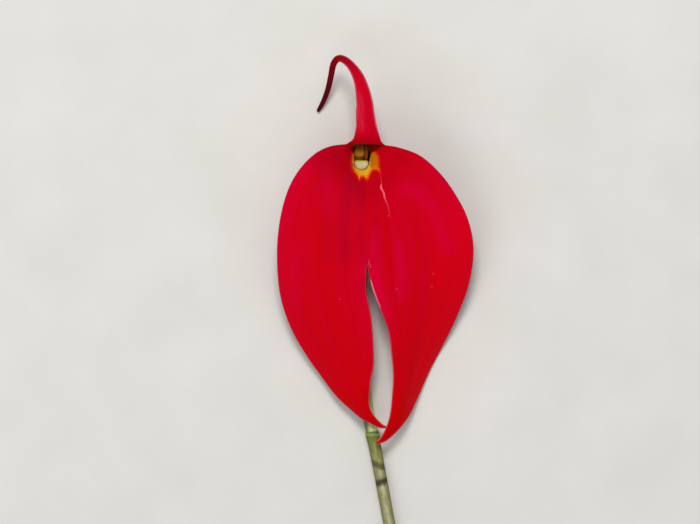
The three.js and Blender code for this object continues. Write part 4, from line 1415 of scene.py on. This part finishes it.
def axis_height(y, radius):
    """Height of the stem's axis: it comes down from the ovary and lies flat below the node."""
    share = np.clip((y - STEM_TOP_Y) / (BRACT_TOP_Y - STEM_TOP_Y), 0, 1)
    above = OVARY_HEIGHT + (BRACT_RADIUS * LYING - OVARY_HEIGHT) * share
    return np.where(y < NODE_TOP_Y, radius * LYING, above)


print("stalk and stem are", along_line(fine_line)[-1].round(1), "mm long together")


# %% Stalk, node and stem
STEM_RADII = [  # y, radius
    (-134.0, 1.45), (-69.1, 1.5), (-68.3, 1.6), (-67.8, 1.7), (-67.25, 1.72), (-66.95, 1.64),
]
STEM_SIDES = 72
STALK_RADIUS, STALK_FLARE = 0.8, 0.15  # mm, the flare at the ovary
STALK_INTO_OVARY = 0.35
CUT_STEPS = [  # size of a ring on the cut, mm that it sinks
    (1.0, 0.0), (0.96, -0.02), (0.9, 0.02), (0.8, 0.05), (0.6, 0.08), (0.35, 0.10), (0.12, 0.10),
]
stem_y = np.concatenate([
    np.linspace(STEM_TOP_Y + STALK_INTO_OVARY, BRACT_TOP_Y, 90)[:-1],
    np.linspace(BRACT_TOP_Y, NODE_TOP_Y, 30), np.linspace(NODE_TOP_Y - 0.03, -69.4, 34),
    np.linspace(-69.6, STEM_CUT_Y, 220),
])
stalk = stem_y >= NODE_TOP_Y
stalk_radius = STALK_RADIUS + STALK_FLARE * smooth_step(stem_y, -23.5, -20.9)
stem_radius = np.where(stalk, stalk_radius, eased(STEM_RADII, reach=0.12)(stem_y))
angle = 2 * np.pi * np.arange(STEM_SIDES) / STEM_SIDES + math.pi / 2
drift = 0.35 * np.sin(stem_y / 17)[:, None]
ridges = 0.020 * np.cos(13 * angle + drift * 3) + 0.012 * np.cos(22 * angle - drift * 5 + 1)
ridges = (ridges + 0.010 * np.cos(7 * angle + drift * 4 + 2)) * np.where(stalk, 0.5, 1.0)[:, None]
swell = (0.025 * np.sin(stem_y / 4.1) + 0.02 * np.sin(stem_y / 1.9 + 1)) * ~stalk
reach = stem_radius[:, None] * (1 + ridges) + swell[:, None]
rings = stem_rings(stem_y, reach, axis_height(stem_y, stem_radius), angle)
cut_height = axis_height(np.array([STEM_CUT_Y]), stem_radius[-1:])
slant_of_cut = CUT_SLANT / stem_radius[-1]
cut_rings = [
    stem_rings([STEM_CUT_Y + sink], reach[-1:] * size, cut_height, angle, slant_of_cut)
    for size, sink in CUT_STEPS
]
points, faces = loft(np.vstack([rings] + cut_rings))
above_cut = np.zeros(len(stem_y))
cut_fact, on_cut = (
    np.append(np.repeat(np.concatenate([above_cut, on_ring]), STEM_SIDES), [0, 1])
    for on_ring in ([1 - size for size, _ in CUT_STEPS], [0.0] + [1.0] * (len(CUT_STEPS) - 1))
)
turn_fact = np.append(np.tile(angle, len(stem_y) + len(CUT_STEPS)), [0, 0])
print("the stem has", len(stem_y), "rings above its cut")

# %% [markdown]
# ## The stem's finish
#
# Near the node the stem is olive green. Further down it fades to a buff colour and is mottled
# with grey-brown, in marks that are stretched along the stem. Both colours are painted lighter
# along the top and darker down the sides, as shade. Two painted shadows, thrown by the tips of
# the side sepals, lie across it below the node. At the node the groove has painted shade and the
# collar a painted highlight. The cut shows a thin green rind, pale pith and a ring of darker
# bundles.

# %% Stem finish
stalk_skin = Finish("stem_skin", Roughness=0.5, Specular_IOR_Level=0.3)
f = stalk_skin
f_y = f.place(1)
f_turn_x, f_turn_y, f_cut, f_on_cut = f.facts("turn_x", "turn_y", "cut", "on_cut")
strand = f.noise(f.vector(f_turn_x, f_y * 0.16, f_turn_y), scale=2.6, detail=5, roughness=0.62)
mottling = f.noise(f.vector(f_turn_x, f_y * 0.55, f_turn_y), scale=1.5, detail=4, roughness=0.6)
dark_strands = strand.fade(0.62, 0.34, high=0.55)
# Painted shade: both colours are lighter along the top of the stem and darker down its sides.
olive_shaded = f.glaze(
    f_turn_y.ramp((0.2, 92, 97, 36), (0.72, 124, 129, 58), (1.0, 152, 156, 78)),
    (dark_strands, (88, 96, 28)),
)
buff_shaded = f.glaze(
    f_turn_y.ramp((0.2, 110, 105, 56), (0.72, 144, 139, 90), (0.94, 170, 167, 122),
                  (1.0, 188, 185, 148)),
    (dark_strands, (112, 106, 60)),
)
young = strand.ramp((0.3, 104, 132, 50), (0.7, 146, 168, 84))
bark = f.glaze(
    olive_shaded,
    ((f_y + mottling * 8).fade(-66, -74), buff_shaded),
    (mottling.fade(0.52, 0.68, high=0.6) * f_y.fade(-68, -78), (112, 100, 70)),
    (f_y.fade(NODE_TOP_Y - 0.6, NODE_TOP_Y + 0.2), young),
    (f_y.fade(-50, -24) * mottling.fade(0.4, 0.65, high=0.5), (150, 92, 60)),
)
print("bark painted:", len(f.tree.nodes), "nodes")

# %% Painted shadows, painted groove shade and collar highlight, and cut
# Painted shadows: the tips of the side sepals throw two dark bands across the stem.
TAIL_SHADOWS = [(-75.3, 0.6, 0.75), (-79.45, -0.5, 0.95)]  # place, slant across the stem, depth
wander = (mottling - 0.5) * 0.8
for middle, tilt, depth in TAIL_SHADOWS:
    away = abs(f_y + wander + (f_turn_x * tilt - middle))
    bark = f.glaze(bark, (away.fade(1.4, 0.2, high=depth), (52, 48, 10)))
from_groove_shade, from_collar_highlight = (abs(f_y - (NODE_TOP_Y - low)) for low in (0.1, 0.75))
bundles = f.cells(2.4).fade(0.16, 0.10, high=0.7) * f_cut.fade(0.08, 0.18) * f_cut.fade(0.7, 0.5)
flesh = f.glaze(
    f_cut.ramp((0.02, 96, 118, 48), (0.12, 170, 176, 104), (0.3, 206, 204, 150),
               (0.9, 222, 218, 176)),
    (bundles, (120, 128, 62)),
)
bark = f.glaze(
    bark,
    (f_y.fade(-73, -68, high=0.35), (66, 80, 22)),
    # painted shade in the groove of the node
    (from_groove_shade.fade(0.3, 0.05, high=0.6), (70, 84, 30)),
    # painted highlight on the collar of the node
    (from_collar_highlight.fade(0.45, 0.1, high=0.45), (166, 184, 104)),
    (f_on_cut, flesh),
)
rough = mottling.fade(0.3, 0.7, low=0.42, high=0.6)
stalk_skin.wear(bark, f.bump(strand, 0.12, strength=0.6), rough)
new_piece("stem_stalk", points, faces, stalk_skin, "stem", "stem", cut=cut_fact, on_cut=on_cut,
          turn_x=np.cos(turn_fact), turn_y=np.sin(turn_fact))

# %% [markdown]
# ## The bract
#
# A papery sheath wraps the stalk where it leaves the stem. It is one leaf, rolled round until
# its two edges overlap, with a slanting mouth that runs to a small point on top. So it is made as
# a sheet rolled in a spiral, thin at the mouth and thicker at the base, and given its thickness
# by a second skin.

# %% Rolled sheath
BRACT_ROWS, BRACT_COLUMNS = 60, 110
BRACT_TURN = 2 * math.pi + 0.9  # a full turn and the overlap
BRACT_EDGE_AT = 0.35  # where the outer edge lies, seen from the side, in radians
BRACT_BASE_Y, BRACT_ROLLED = NODE_TOP_Y - 0.12, 10.0
BRACT_OUTER, BRACT_INWARD = 1.585, 0.30  # mm from the axis, mm that it winds inwards
BRACT_WALL, BRACT_THINNER = 0.24, 0.12  # mm at the base, mm less at the mouth
BRACT_MOUTH_SLANT = 2.0 / BRACT_RADIUS
share = np.linspace(0, 1, BRACT_ROWS)[:, None]
around = np.linspace(0, 1, BRACT_COLUMNS)[None]
angle = BRACT_EDGE_AT + BRACT_TURN * (1 - around)
thin_edges = 1 - 0.5 * bell(np.minimum(around, 1 - around), 0.03)
wall = (BRACT_WALL - BRACT_THINNER * share) * thin_edges
middle = BRACT_OUTER - BRACT_INWARD * around + 0.03 * np.sin(3 * angle + 4 * share)
middle = middle - 0.06 * smooth_step(share, 0.1, 0.0)
point_on_top = 0.5 * bell(np.angle(np.exp(1j * (angle - math.pi / 2))), 0.35) * share**5
ripple = 0.12 * np.sin(5 * angle) * share**6
height = np.full(BRACT_ROWS, BRACT_RADIUS * LYING)
skins = []
for side_of_wall in (0.5, -0.5):
    sheath = stem_rings(BRACT_BASE_Y + BRACT_ROLLED * share[:, 0], middle + side_of_wall * wall,
                        height, angle, -BRACT_MOUTH_SLANT * share**3)
    sheath[..., 1] += point_on_top + ripple
    skins.append(sheath.reshape(-1, 3))
points = np.vstack(skins)
numbers = np.arange(BRACT_ROWS * BRACT_COLUMNS).reshape(BRACT_ROWS, BRACT_COLUMNS)
outer, inner = quads_of(numbers), numbers.size
border = [numbers[0, :-1], numbers[:-1, -1], numbers[-1, :0:-1], numbers[:0:-1, 0]]
border = np.concatenate(border).tolist()
faces = outer.tolist() + (outer[:, ::-1] + inner).tolist()
faces += [[a, a + inner, b + inner, b] for a, b in zip(border, border[1:] + border[:1])]
share_fact, around_fact = (
    np.tile(np.broadcast_to(fact, numbers.shape).ravel(), 2) for fact in (share, around)
)
print("sheath rolled from", numbers.shape, "points a skin")

# %% Bract finish
paper = Finish("bract_paper", Roughness=0.5, Specular_IOR_Level=0.4,
               Subsurface_Weight=0.1, Subsurface_Scale=0.0005)
f = paper
f_share, f_around = f.facts("share", "around")
nerves = f.noise(f.vector(f_around * 60, f_share * 2.5, 0.0), detail=3)
patches = f.noise(f.millimetres(), scale=0.6, detail=4)
leaf_and_shade = f.glaze(
    nerves.ramp((0.35, 188, 212, 140), (0.62, 224, 240, 184)),
    # Painted shade: darker on the left, where the tips of the sepals shade the bract, and darker
    # towards its mouth.
    (f.place(0).fade(1.75, 0.3, high=0.94), (78, 90, 30)),
    (f_share.fade(0.25, 0.7, high=0.6), (92, 120, 60)),
    (patches.fade(0.55, 0.75, high=0.5), (196, 196, 140)),
    (f_share.fade(0.8, 1.0, high=0.8), (192, 172, 122)),
    (abs(f_around - 0.5).fade(0.48, 0.5, high=0.7), (170, 150, 104)),
    (f_share.fade(0.06, 0.0, high=0.5), (104, 120, 50)),
    (f.cells(1.1).fade(0.10, 0.05, high=0.5), (120, 90, 56)),
)
paper.wear(leaf_and_shade, f.bump(nerves, 0.10, strength=0.6))
new_piece("bract_sheath", points, facing_out(points, faces), paper, "bract", "floral_bract",
          share=share_fact, around=around_fact)

# %% [markdown]
# ## Sizes
#
# Both boxes, of the solids and of the made pieces, are printed side by side. The made pieces
# have to stay inside the box of the solids.

# %% Sizes
made_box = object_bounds()
sizes = {"solids": [list(corner) for corner in solid_box],
         "made": [list(corner) for corner in made_box]}
for label, (low, high) in sizes.items():
    print(label, [round(1000 * (b - a), 2) for a, b in zip(low, high)])
